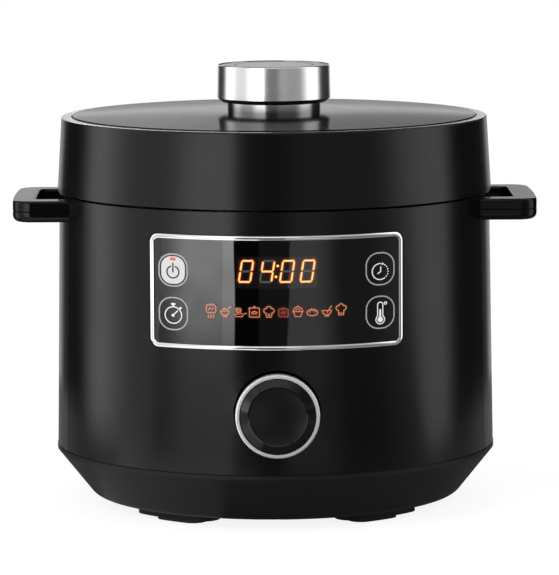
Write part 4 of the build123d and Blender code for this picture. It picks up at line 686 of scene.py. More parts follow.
def arc(x: float, z: float, radius: float, start: float, end: float, steps: int = 20) -> list[Flat]:
    """Points of an arc, by its centre, its radius and its two angles in degrees."""
    turns = [math.radians(start + (end - start) * i / steps) for i in range(steps + 1)]
    return [(x + radius * math.cos(turn), z + radius * math.sin(turn)) for turn in turns]


def ring(x: float, z: float, radius: float, steps: int = 32) -> list[Flat]:
    """Points of a whole circle."""
    return arc(x, z, radius, 0, 360, steps)[:-1]


def rounded_box(half_x: float, half_z: float, corner: float, pitch: float) -> list[Flat]:
    """Points round a box with rounded corners about the origin.

    Args:
        half_x: half its width.
        half_z: half its height.
        corner: radius of its corners.
        pitch: longest step along a side.

    Returns:
        The closed outline, counter-clockwise.
    """
    points: list[Flat] = []
    for quarter, (sx, sz) in enumerate(((1, 1), (-1, 1), (-1, -1), (1, -1))):
        points += arc(sx * (half_x - corner), sz * (half_z - corner), corner,
                      90 * quarter, 90 * quarter + 90, CORNER_STEPS)
    filled: list[Flat] = []
    for here, after in zip(points, points[1:] + points[:1]):
        steps = max(1, math.ceil(math.dist(here, after) / pitch))
        filled += [(here[0] + (after[0] - here[0]) * i / steps,
                    here[1] + (after[1] - here[1]) * i / steps) for i in range(steps)]
    return filled


def rounded_profile(corners: Sequence[tuple[float, float, float]], steps: int = 5) -> list[Flat]:
    """Rounds the corners of a closed outline.

    Args:
        corners: each corner's two coordinates and its radius.
        steps: facets in a corner.

    Returns:
        The outline's points.
    """
    points: list[Flat] = []
    count = len(corners)
    for i, (a, b, radius) in enumerate(corners):
        here = Vector((a, b))
        if radius <= 0:
            points.append((a, b))
            continue
        before = (Vector(corners[i - 1][:2]) - here).normalized()
        after = (Vector(corners[(i + 1) % count][:2]) - here).normalized()
        half = before.angle(after) / 2
        reach = radius / math.tan(half)
        centre = here + (before + after).normalized() * radius / math.sin(half)
        first, last = here + before * reach - centre, here + after * reach - centre
        for k in range(steps + 1):
            spoke = first.slerp(last, k / steps)
            points.append((centre.x + spoke.x, centre.y + spoke.y))
    return points


def skin(shape: BMesh, rows: Sequence[Sequence[BMVert]],
         closed: bool = False) -> None:
    """Joins rings of points, each to the next, with four-sided faces.

    Args:
        shape: the mesh that holds the points.
        rows: rings of equally many points.
        closed: whether the last ring joins the first.
    """
    size = len(rows[0])
    pairs = list(zip(rows, rows[1:]))
    if closed:
        pairs.append((rows[-1], rows[0]))
    for here, after in pairs:
        for k in range(size):
            further = (k + 1) % size
            shape.faces.new((here[k], here[further], after[further], after[k]))


def sweep(shape: BMesh, path: Sequence[Flat], section: Sequence[Flat], place: Place,
          closed: bool) -> None:
    """Draws a closed section along a flat path and lays it on a surface.

    Args:
        shape: the mesh that it is added to.
        path: points on the surface.
        section: points across the path and proud of the surface.
        place: gives the point in space.
        closed: whether the path runs into its start; an open one gets round ends.
    """
    half = max(abs(across) for across, _ in section)
    stations: list[tuple[Flat, Flat, float]] = []
    count = len(path)
    for i, here in enumerate(path):
        before = path[i - 1] if closed or i else here
        after = path[(i + 1) % count] if closed or i < count - 1 else here
        run = Vector((after[0] - before[0], after[1] - before[1])).normalized()
        stations.append((here, (run.x, run.y), 1.0))
    if not closed:
        bends = [math.radians(turn) for turn in END_BENDS]
        (start, head, _), (end, tail, _) = stations[0], stations[-1]
        fore = [((start[0] - head[0] * half * math.sin(b), start[1] - head[1] * half * math.sin(b)),
                 head, math.cos(b)) for b in reversed(bends)]
        aft = [((end[0] + tail[0] * half * math.sin(b), end[1] + tail[1] * half * math.sin(b)),
                tail, math.cos(b)) for b in bends]
        stations = fore + stations + aft
    rows = []
    for (px, pz), (tx, tz), squeeze in stations:
        rows.append([shape.verts.new(place(px - tz * across * squeeze, pz + tx * across * squeeze, proud))
                     for across, proud in section])
    if not closed:
        shape.faces.new(rows[0])
        shape.faces.new(rows[-1])
    skin(shape, rows, closed)


@dataclass(frozen=True)
class Stroke:
    """One printed or lit line of a mark, in millimetres about the mark's middle."""

    points: Sequence[Flat]
    width: float = 0.6
    closed: bool = False
    BEVEL = 0.08
    SUNK = 0.1
    SHOULDER = 0.03

    def draw(self, shape: BMesh, middle: Flat, place: Place, proud: float) -> None:
        """Adds the line to a mesh.

        Args:
            shape: the mesh.
            middle: where the mark's middle goes.
            place: gives the point in space.
            proud: how far its face stands off the surface.
        """
        half, edge = self.width / 2, min(self.BEVEL, self.width / 6)
        floor, shoulder = proud - self.SUNK, proud - self.SHOULDER
        section = ((-half, floor), (half, floor), (half, shoulder), (half - edge, proud),
                   (edge - half, proud), (-half, shoulder))
        path = [(middle[0] + x, middle[1] + z) for x, z in self.points]
        sweep(shape, path, section, place, self.closed)


def dot(x: float, z: float, radius: float) -> Stroke:
    """A filled round spot."""
    return Stroke(((x - DOT_HALF, z), (x + DOT_HALF, z)), 2 * radius)


def hoop(x: float, z: float, radius: float, width: float = 0.6) -> Stroke:
    """A drawn circle."""
    return Stroke(ring(x, z, radius), width, True)


def closed_mesh(shape: BMesh, name: str, sharp: float = 40.0) -> Mesh:
    """Turns a bmesh into a mesh with outward faces and smooth shading.

    Args:
        shape: the bmesh, which is freed.
        name: the mesh's name.
        sharp: the angle in degrees past which an edge stays sharp.

    Returns:
        The mesh.
    """
    bmesh.ops.remove_doubles(shape, verts=shape.verts, dist=SAME_POINT)
    bmesh.ops.recalc_face_normals(shape, faces=shape.faces)
    mesh = bpy.data.meshes.new(name)
    shape.to_mesh(mesh)
    shape.free()
    mesh.shade_smooth()
    mesh.set_sharp_from_angle(angle=math.radians(sharp))
    return mesh


def lathe(name: str, profile: Sequence[Flat], steps: int = 128) -> Mesh:
    """Turns a closed outline of radius and height about the upright axis.

    Args:
        name: the mesh's name.
        profile: points by radius and height in millimetres.
        steps: facets in the round.

    Returns:
        The mesh.
    """
    shape = bmesh.new()
    rows = []
    for i in range(steps):
        turn = math.tau * i / steps
        rows.append([shape.verts.new(Vector((r * math.cos(turn), r * math.sin(turn), z)) * MM)
                     for r, z in profile])
    skin(shape, rows, True)
    return closed_mesh(shape, name)


class Pattern:
    """A geometry node tree with named sizes whose result is kept as a plain mesh."""

    def __init__(self, name: str, sizes: Mapping[str, Union[float, int]]) -> None:
        """Makes the tree and its inputs.

        Args:
            name: the tree's name.
            sizes: each input's name and value.
        """
        self.name = name
        self.tree = bpy.data.node_groups.new(name, "GeometryNodeTree")
        self.graph = Graph(self.tree)
        self.tree.interface.new_socket("Seeds", in_out="INPUT", socket_type="NodeSocketGeometry")
        self.settings: dict[str, Union[float, int]] = {}
        for title, size in sizes.items():
            kind = "NodeSocketInt" if isinstance(size, int) else "NodeSocketFloat"
            socket = self.tree.interface.new_socket(title, in_out="INPUT", socket_type=kind)
            self.settings[socket.identifier] = size
        self.tree.interface.new_socket("Geometry", in_out="OUTPUT", socket_type="NodeSocketGeometry")
        self.entry = self.graph.node("NodeGroupInput")

    def size(self, name: str) -> Value:
        """One of the tree's inputs."""
        return Value(self.graph, self.entry.outputs[name])

    def mesh(self, geometry: Value, finish: Finish, seeds: Optional[Mesh] = None) -> Mesh:
        """Closes the tree, runs it and keeps what it makes.

        Args:
            geometry: the tree's result.
            finish: the finish of all of it.
            seeds: the mesh that the tree starts from.

        Returns:
            A plain mesh.
        """
        whole = self.graph.value("GeometryNodeRealizeInstances", inputs={0: geometry})
        dressed = self.graph.value("GeometryNodeSetMaterial", inputs={"Geometry": whole,
                                                                      "Material": finish.material()})
        self.graph.node("NodeGroupOutput", inputs={0: dressed})
        holder = put(self.name, seeds or bpy.data.meshes.new(self.name))
        modifier = holder.modifiers.new(self.name, "NODES")
        modifier.node_group = self.tree
        for identifier, size in self.settings.items():
            modifier[identifier] = size
        depsgraph = bpy.context.evaluated_depsgraph_get()
        made = bpy.data.meshes.new_from_object(holder.evaluated_get(depsgraph))
        bpy.data.objects.remove(holder)
        return made


Seat = tuple[Vector, Euler, Vector]
UNSTRETCHED = Vector((1.0, 1.0, 1.0))


def repeat(name: str, shape: Mesh, finish: Finish, seats: Sequence[Seat]) -> Mesh:
    """Sets copies of one shape on seats.

    Args:
        name: the mesh's name.
        shape: what is repeated.
        finish: its finish.
        seats: each copy's place, turn and stretch.

    Returns:
        One mesh of all copies.
    """
    seeds = bpy.data.meshes.new(name)
    seeds.from_pydata([tuple(place) for place, _, _ in seats], [], [])
    for title, column in (("turn", 1), ("stretch", 2)):
        entries = seeds.attributes.new(title, "FLOAT_VECTOR", "POINT")
        for entry, seat in zip(entries.data, seats):
            entry.vector = tuple(seat[column])
    model = put(name + "_model", shape)
    pattern = Pattern(name, {"Size": 1.0})
    graph = pattern.graph
    turn, stretch = (graph.value("GeometryNodeInputNamedAttribute", {"data_type": "FLOAT_VECTOR"},
                                 {"Name": title}) for title in ("turn", "stretch"))
    sized = graph.value("ShaderNodeVectorMath", {"operation": "SCALE"},
                        {0: stretch, "Scale": pattern.size("Size")})
    copies = graph.value("GeometryNodeInstanceOnPoints", inputs={
        "Points": pattern.size("Seeds"),
        "Instance": graph.value("GeometryNodeObjectInfo", inputs={"Object": model}, output="Geometry"),
        "Rotation": turn,
        "Scale": sized,
    })
    made = pattern.mesh(copies, finish, seeds)
    bpy.data.objects.remove(model)
    return made


def solids(node: str) -> list[list[Vector]]:
    """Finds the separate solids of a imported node.

    Args:
        node: the node's name.

    Returns:
        The points of each solid, in metres.
    """
    shape = bmesh.new()
    shape.from_mesh(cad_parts[node].data)
    bmesh.ops.remove_doubles(shape, verts=shape.verts, dist=NEAR_POINT)
    found = []
    for first in shape.verts:
        if first.tag:
            continue
        first.tag = True
        queue, points = [first], []
        while queue:
            vert = queue.pop()
            points.append(vert.co.copy())
            for edge in vert.link_edges:
                other = edge.other_vert(vert)
                if not other.tag:
                    other.tag = True
                    queue.append(other)
        found.append(points)
    shape.free()
    return found


def together(name: str, meshes: Iterable[Mesh]) -> Mesh:
    """Joins meshes into one.

    Args:
        name: the joined mesh's name.
        meshes: what is joined.

    Returns:
        The joined mesh.
    """
    shape = bmesh.new()
    for mesh in meshes:
        shape.from_mesh(mesh)
    return closed_mesh(shape, name, SCREW_CREASE)


def lay_on(mesh: Mesh, place: Place) -> Mesh:
    """Bends a flat mesh, drawn in x and z with its face towards -y, onto a surface.

    Args:
        mesh: the flat mesh, which is changed.
        place: gives the point in space.

    Returns:
        The same mesh.
    """
    for vertex in mesh.vertices:
        x, y, z = vertex.co / MM
        vertex.co = place(x, z, -y)
    return mesh


def piece(name: str, mesh: Mesh, finish: Finish, body: str,
          stands_for: Sequence[str] = (), weighted: bool = True) -> Object:
    """Puts a finished mesh on the object.

    Args:
        name: the piece's name.
        mesh: its mesh, in place.
        finish: its finish.
        body: the body that it rides on, or nothing for a piece that rides on no body.
        stands_for: solids that it replaces.
        weighted: whether flat faces lead the shading.

    Returns:
        The object.
    """
    mesh.name = name
    mesh.materials.clear()
    mesh.materials.append(finish.material())
    made = put(name, mesh)
    if weighted:
        modifier = made.modifiers.new("even_shading", "WEIGHTED_NORMAL")
        modifier.keep_sharp = True
    if body:
        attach(made, body)
    if stands_for:
        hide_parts(*stands_for)
    LOG.info("%s: %d faces on %s", name, len(mesh.polygons), body or "two bodies")
    return made


def drawing(name: str, strokes: Iterable[tuple[Stroke, Flat]], place: Place, proud: float) -> Mesh:
    """Makes one mesh of many strokes.

    Args:
        name: the mesh's name.
        strokes: each stroke and its mark's middle.
        place: gives the point in space.
        proud: how far the faces stand off the surface.

    Returns:
        The mesh.
    """
    shape = bmesh.new()
    for stroke, middle in strokes:
        stroke.draw(shape, middle, place, proud)
    return closed_mesh(shape, name)


def dress(finish: Finish, *nodes: str) -> None:
    """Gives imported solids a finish.

    Args:
        finish: the finish.
        nodes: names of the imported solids.
    """
    for node in nodes:
        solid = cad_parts[node]
        solid.data.materials.clear()
        solid.data.materials.append(finish.material())
        LOG.info("%s: %s", node, finish.name)


@dataclass(frozen=True)
class Softbox:
    """One light panel of the studio, as directions seen from the object in degrees.

    Turn 0 is towards the camera and grows to the right; rise 0 is level.
    """

    left: float
    right: float
    level: float
    soft_left: float = 4.0
    soft_right: float = 4.0
    low: float = -40.0
    high: float = 55.0
    SOFT_RISE = 4.0

    def seen(self, turn: Value, rise: Value) -> Value:
        """The light that comes from a direction.

        Args:
            turn: the direction to the side, in degrees.
            rise: the direction upwards, in degrees.

        Returns:
            The strength of the light.
        """
        start = turn.span(self.left - self.soft_left, self.left + self.soft_left)
        end = turn.span(self.right - self.soft_right, self.right + self.soft_right)
        return start * (1 - end) * rise.band(self.low, self.high, self.SOFT_RISE) * self.level


BIG_BOX_EDGE = -21.6
BIG_BOX_SOFT = 0.6


@dataclass(frozen=True)
class BackWall:
    """The pale wall behind the object, which its upper faces reflect, by rises in degrees."""

    level: float = 0.87
    ends: tuple[float, float, float] = (-156.0, 156.0, 4.0)
    strip: tuple[float, float, float] = (3.7, 4.9, 0.3)
    strip_level: float = 1.6
    upper: Flat = (4.6, 6.0)
    upper_level: float = 0.2
    fall: Flat = (-0.04, 0.04)
    fall_level: float = 0.43
    crown: tuple[float, float, float] = (17.0, 28.0, 4.0)
    crown_level: float = 4.5
    foot: Flat = (-3.0, 1.0)
    foot_level: float = 0.25

    def seen(self, x: Value, rise: Value) -> Value:
        """The wall's light from a direction; its upper part falls off to the right.

        Args:
            x: how far the direction points to the right, between -1 and 1.
            rise: the direction upwards, in degrees.

        Returns:
            The strength of the light.
        """
        strip = rise.band(*self.strip) * self.strip_level
        upper = rise.span(*self.upper) * (self.upper_level - x.span(*self.fall) * self.fall_level)
        crown = rise.band(*self.crown) * self.crown_level
        foot = (1 - rise.span(*self.foot)) * self.foot_level
        return self.level + strip + upper + crown - foot


def spread(name: str, shape: BMesh, light: Callable[[Graph], Value]) -> Object:
    """Lays a flat shape on the ground as part of the studio.

    Args:
        name: the object's name.
        shape: its shape, in place, which is freed.
        light: makes its shader.

    Returns:
        The object.
    """
    mesh = bpy.data.meshes.new(name)
    shape.to_mesh(mesh)
    shape.free()
    material = bpy.data.materials.new(name)
    material.use_nodes = True
    graph = Graph(material.node_tree)
    graph.node("ShaderNodeOutputMaterial", inputs={"Surface": light(graph)})
    mesh.materials.append(material)
    made = put(name, mesh)
    return made


def bearing(graph: Graph) -> tuple[Value, Value]:
    """A ground point's turn from the front in degrees and its distance from the middle in metres."""
    x, y, _ = graph.split(graph.place())
    return graph.math("ARCTAN2", x, 0 - y) * DEGREES, (x * x + y * y) ** 0.5


@dataclass(frozen=True)
class Floor:
    """The pale round floor that keeps the object's shadow."""

    radius: float = 0.55
    back: float = 0.13
    sides: int = 96
    tone: float = 0.2
    shown: float = 0.81
    dim: float = 0.07
    near: tuple[float, float, float] = (-75.0, -18.0, 1.0)
    near_level: float = 0.24
    far: tuple[float, float, float] = (-75.0, -8.0, 1.0)
    far_level: float = 0.8
    far_start: Flat = (0.22, 0.27)

    def light(self, graph: Graph) -> Value:
        """White for the camera; in reflections dark, with a lit part to the left.

        Args:
            graph: the nodes of the material.

        Returns:
            The shader.
        """
        seen = graph.value("ShaderNodeLightPath", output="Is Camera Ray")
        turn, reach = bearing(graph)
        far = turn.band(*self.far) * reach.span(*self.far_start) * self.far_level
        side = turn.band(*self.near) * self.near_level + far
        sheen = graph.value("ShaderNodeBsdfDiffuse", inputs={"Color": rgba(grey(self.tone))})
        glow = graph.value("ShaderNodeEmission", inputs={
            "Color": rgba(grey(1.0)),
            "Strength": self.dim + side + seen * (self.shown - side),
        })
        return graph.value("ShaderNodeAddShader", inputs={0: sheen, 1: glow})

    def build(self) -> None:
        """Lays the floor."""
        shape = bmesh.new()
        bmesh.ops.create_circle(shape, cap_ends=True, segments=self.sides, radius=self.radius)
        bmesh.ops.translate(shape, vec=(0.0, self.back, 0.0), verts=shape.verts)
        spread("floor", shape, self.light)


@dataclass(frozen=True)
class Cloth:
    """The dark cloth in front of the floor, which only reflections show, by turns in degrees."""

    inner: float = 0.43
    outer: float = 3.2
    start: float = -60.0
    end: float = 74.0
    steps: int = 24
    dark: float = 0.012
    middle: Flat = (-9.2, -8.0)
    middle_level: float = 0.07
    left_edge: float = 18.9
    left_soft: float = 0.3
    left_level: float = 0.84
    left_side: Flat = (-60.0, -42.0)
    left_side_level: float = 1.6
    left_rim: Flat = (5.4, 6.0)
    left_rim_level: float = 0.6
    left_reach: Flat = (0.8, 2.6)
    left_near: float = 0.3
    right_edge: float = 3.2
    right_slant: float = 1.5
    right_soft: float = 0.6
    right_level: float = 0.46
    right_fall: Flat = (18.0, 35.0)
    right_fall_level: float = 0.42
    right_end: Flat = (46.0, 66.0)
    right_end_level: float = 0.12

    def light(self, graph: Graph) -> Value:
        """Dark in the middle, with a lit part to the left and a paler one to the right.

        Args:
            graph: the nodes of the material.

        Returns:
            The shader.
        """
        turn, reach = bearing(graph)
        left = 0 - (turn + self.left_edge + reach)
        right = turn - self.right_edge - reach * self.right_slant
        fall = self.right_level - turn.span(*self.right_fall) * self.right_fall_level
        end = turn.span(*self.right_end) * self.right_end_level
        pale = right.span(-self.right_soft, self.right_soft) * fall + end
        rim = (1 - left.span(*self.left_rim)) * self.left_rim_level
        side = self.left_level + turn.span(*self.left_side) * self.left_side_level + rim
        lit = left.span(-self.left_soft, self.left_soft) * side
        lit = lit * (self.left_near + reach.span(*self.left_reach))
        middle = self.dark + turn.span(*self.middle) * self.middle_level
        return graph.value("ShaderNodeEmission", inputs={"Color": rgba(grey(1.0)),
                                                         "Strength": middle + pale + lit})

    def build(self) -> None:
        """Lays the cloth."""
        shape = bmesh.new()
        step = (self.end - self.start) / self.steps
        turns = [math.radians(self.start + step * i) for i in range(self.steps + 1)]
        near, far = ([shape.verts.new((radius * math.sin(turn), -radius * math.cos(turn), 0.0))
                      for turn in turns] for radius in (self.inner, self.outer))
        for i in range(self.steps):
            shape.faces.new((near[i], far[i], far[i + 1], near[i + 1]))
        made = spread("front_cloth", shape, self.light)
        made.visible_camera = False
        made.visible_diffuse = False


@dataclass
class Stage:
    """The studio: ground, light and camera."""

    aim: tuple[float, float, float] = (3.349, 0.0, 150.0)
    look_height: float = 152.07
    rise: float = 7.275
    swing: float = -0.591
    roll: float = -0.28
    distance: float = 2723.8
    lens: float = 236.85
    sensor: float = 36.0
    dark: float = 0.03
    boxes: tuple[Softbox, ...] = (
        Softbox(163, 200, 1.0, low=-30, high=60),
        Softbox(-200, -163, 1.0, low=-30, high=60),
        Softbox(-117, -92, 1.05, soft_left=9, soft_right=12),
        Softbox(-112, BIG_BOX_EDGE, 0.85, soft_left=10, soft_right=BIG_BOX_SOFT),
        Softbox(-50, BIG_BOX_EDGE, 1.75, soft_left=10, soft_right=BIG_BOX_SOFT, high=6),
        Softbox(-27.4, BIG_BOX_EDGE, 0.7, soft_left=BIG_BOX_SOFT, soft_right=BIG_BOX_SOFT, high=6),
        Softbox(BIG_BOX_EDGE, 11, 0.22, soft_left=BIG_BOX_SOFT, soft_right=5, high=2),
        Softbox(11, 66, 0.4, soft_left=5, soft_right=12, high=2),
        Softbox(66, 103, 1.5, soft_left=12, soft_right=8),
        Softbox(BIG_BOX_EDGE, 70, 0.3, soft_left=BIG_BOX_SOFT, soft_right=10, low=17, high=60),
        Softbox(-40, 12, 0.7, soft_left=6, soft_right=8, low=16, high=45),
        Softbox(8, 70, 0.18, soft_right=10, low=2, high=60),
        Softbox(-200, 200, 0.8, soft_left=6, soft_right=6, low=60, high=100),
    )
    wall: BackWall = BackWall()
    lamp_aim: float = 0.15
    lamp_size: float = 1.0

    def camera(self) -> None:
        """Sets the camera in front of the object and a little above its middle."""
        rise, swing = math.radians(self.rise), math.radians(self.swing)
        away = Vector((math.sin(swing) * math.cos(rise), -math.cos(swing) * math.cos(rise), math.sin(rise)))
        spot = (Vector(self.aim) + away * self.distance) * MM
        look = Vector((self.aim[0], self.aim[1], self.look_height)) * MM - spot
        turn = look.to_track_quat("-Z", "Y").to_matrix() @ Matrix.Rotation(math.radians(self.roll), 3, "Z")
        lens = bpy.data.cameras.new("studio_camera")
        lens.lens = self.lens
        lens.sensor_width = self.sensor
        camera = put("studio_camera", lens)
        camera.matrix_world = Matrix.Translation(spot) @ turn.to_4x4()
        bpy.context.scene.camera = camera

    def world(self) -> None:
        """Paints the studio round the object: white for the camera, light panels for the rest."""
        world = bpy.data.worlds.new("studio")
        world.use_nodes = True
        bpy.context.scene.world = world
        graph = Graph(world.node_tree)
        x, y, z = graph.split(graph.value("ShaderNodeTexCoord", output="Generated"))
        turn = graph.math("ARCTAN2", x, 0 - y) * DEGREES
        rise = graph.math("ARCSINE", z) * DEGREES
        light: Number = self.dark
        for box in self.boxes:
            light = light + box.seen(turn, rise)
        path = graph.node("ShaderNodeLightPath")
        camera, clear, glossy = (Value(graph, path.outputs[f"Is {kind} Ray"])
                                 for kind in ("Camera", "Transmission", "Glossy"))
        behind = glossy * (1 - turn.band(*self.wall.ends))
        light = light + behind * (self.wall.seen(x, rise) - light)
        white = camera.highest(clear)
        shade = graph.value("ShaderNodeBackground", inputs={"Color": rgba(grey(1.0)),
                                                            "Strength": light + white * (1 - light)})
        graph.node("ShaderNodeOutputWorld", inputs={"Surface": shade})

    def lamp(self, name: str, spot: tuple[float, float, float], power: float) -> None:
        """Hangs a soft lamp that is not seen in reflections.

        Args:
            name: the lamp's name.
            spot: where it hangs, in metres.
            power: its power in watts.
        """
        light = bpy.data.lights.new(name, "AREA")
        light.size = self.lamp_size
        light.energy = power
        lamp = put(name, light)
        lamp.location = spot
        aim = Vector((0.0, 0.0, self.lamp_aim)) - Vector(spot)
        lamp.rotation_euler = aim.to_track_quat("-Z", "Y").to_euler()
        lamp.visible_glossy = False

    def build(self) -> None:
        """Sets the stage."""
        bpy.context.scene.view_settings.view_transform = "Standard"
        self.camera()
        self.world()
        Floor().build()
        Cloth().build()
        self.lamp("lamp_left", (-1.0, -1.2, 1.5), 9.0)
        self.lamp("lamp_right", (1.2, -0.9, 1.2), 5.0)


@dataclass
class Lid:
    """The lift-off lid: skirt, top disc, seal and the works under them."""

    seal_width: float = 11.0
    lip: float = 1.8
    back: float = 3.6
    web: float = 1.3
    slope: float = 0.4
    back_round: float = 0.8
    lip_round: float = 0.6
    steps: int = 160

    def seal(self) -> None:
        """Makes the sealing ring with its two soft lips."""
        lowest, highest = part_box("lid_gasket")
        low, high, outer = lowest.z / MM, highest.z / MM, highest.x / MM
        inner = outer - self.seal_width
        upper = [(outer, high, self.back_round), (inner, high, self.lip_round),
                 (inner, high - self.lip, self.lip_round),
                 (outer - self.back, high - self.lip - self.slope, self.web / 2)]
        lower = [(outer - self.back, low + self.lip + self.slope, self.web / 2),
                 (inner, low + self.lip, self.lip_round), (inner, low, self.lip_round)]
        outline = rounded_profile([(outer, low, self.back_round), *upper, *lower])
        ring_mesh = lathe("seal_ring", outline, self.steps)
        piece("seal_ring", ring_mesh, SILICONE, "lid", ("lid_gasket",))

    def build(self) -> None:
        """Dresses the lid."""
        dress(SATIN_BLACK, "lid_skirt")
        dress(LID_SATIN, "lid_disc")
        dress(INNER_BLACK, "lid_frame", "steam_filter", "steam_valve")
        dress(STEEL, "inner_lid", "vent_pipe", "float_pin", "lock_ring", "driver_plate", "lock_spindle")
        dress(BRASS, "spindle_bush")
        self.seal()


@dataclass
class Knob:
    """The knob on the lid: chrome sleeve, black foot, satin cap and silver collar."""

    groove: float = 27.5
    groove_width: float = 0.8
    groove_floor: float = 0.6
    groove_drop: float = 0.1
    cap_drop: float = 0.4

    def paint_groove_shade(self) -> None:
        """Lays a dull black ring in the groove of the cap as painted shade, where the groove's walls would
        hide reflections.
        """
        top = SLEEVE_TOP - self.cap_drop
        half = self.groove_width / 2
        low, high = top - self.groove_floor, top - self.groove_drop
        outline = ((self.groove + half, low), (self.groove + half, high), (self.groove - half, high),
                   (self.groove - half, low))
        piece("knob_inlay", lathe("knob_inlay", outline), GROOVE_SHADE, "lock")

    def build(self) -> None:
        """Dresses the knob."""
        self.paint_groove_shade()
        dress(CHROME, "knob_sleeve")
        dress(INNER_BLACK, "knob_core")
        dress(KNOB_TOP, "knob_cap")
        dress(SILVER, "knob_collar")


@dataclass
class Panel:
    """The curved front panel with its chrome frame."""

    corner: float = 6.0
    width: float = 2.8
    front: float = 1.6
    crown: float = 0.45
    sunk: float = -2.5
    pitch: float = 2.5
    crest_steps: int = 5

    def frame(self) -> None:
        """Makes the chrome frame with a crowned face."""
        lowest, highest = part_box("panel_frame")
        half, middle = self.width / 2, (lowest.z + highest.z) / 2 / MM
        half_x, half_z = highest.x / MM - half, (highest.z - lowest.z) / 2 / MM - half
        path = [(x, middle + z) for x, z in rounded_box(half_x, half_z, self.corner - half, self.pitch)]
        steps = self.crest_steps
        crest = [(half * k / steps, self.front - self.crown * (k / steps) ** 2)
                 for k in range(steps, -steps - 1, -1)]
        shape = bmesh.new()
        sweep(shape, path, [(-half, self.sunk), (half, self.sunk), *crest], WALL.at, True)
        mesh = closed_mesh(shape, "panel_trim")
        piece("panel_trim", mesh, FRAME_CHROME, "housing", ("panel_frame",))

    def build(self) -> None:
        """Dresses the panel."""
        dress(WINDOW, "panel_window")
        dress(INNER_BLACK, "panel_carrier")
        dress(BOARD, "control_board", "power_board")
        dress(MODULE_BLACK, "display_module")
        self.frame()


class Segment(Enum):
    """The seven bars of a digit, by their place in half widths and half heights and their turn."""

    TOP = (0.0, 1.0, 0.0)
    MIDDLE = (0.0, 0.0, 0.0)
    BOTTOM = (0.0, -1.0, 0.0)
    UPPER_LEFT = (-1.0, 0.5, 90.0)
    UPPER_RIGHT = (1.0, 0.5, 90.0)
    LOWER_LEFT = (-1.0, -0.5, 90.0)
    LOWER_RIGHT = (1.0, -0.5, 90.0)


DARK_SEGMENTS = {
    0: (Segment.MIDDLE,),
    4: (Segment.TOP, Segment.BOTTOM, Segment.LOWER_LEFT),
}


def tile(name: str, rings: Sequence[tuple[Sequence[Flat], float]], depth: float) -> Mesh:
    """Makes a thin flat tile in x and z that faces -y.

    Args:
        name: the mesh's name.
        rings: outlines from the innermost, which may be a line, to the edge, each with its glow.
        depth: the tile's thickness in millimetres.

    Returns:
        The mesh in metres, with the glow as an attribute.
    """
    shape = bmesh.new()
    glow = shape.verts.layers.float.new("glow")
    rows = []
    for outline, level in [*rings, rings[-1]]:
        rise = depth if len(rows) == len(rings) else 0.0
        rows.append([shape.verts.new((x * MM, rise * MM, z * MM)) for x, z in outline])
        for vert in rows[-1]:
            vert[glow] = level
    if any(abs(z) > NEAR_POINT for _, z in rings[0][0]):
        shape.faces.new(rows[0])
    shape.faces.new(rows[-1])
    skin(shape, rows)
    return closed_mesh(shape, name)


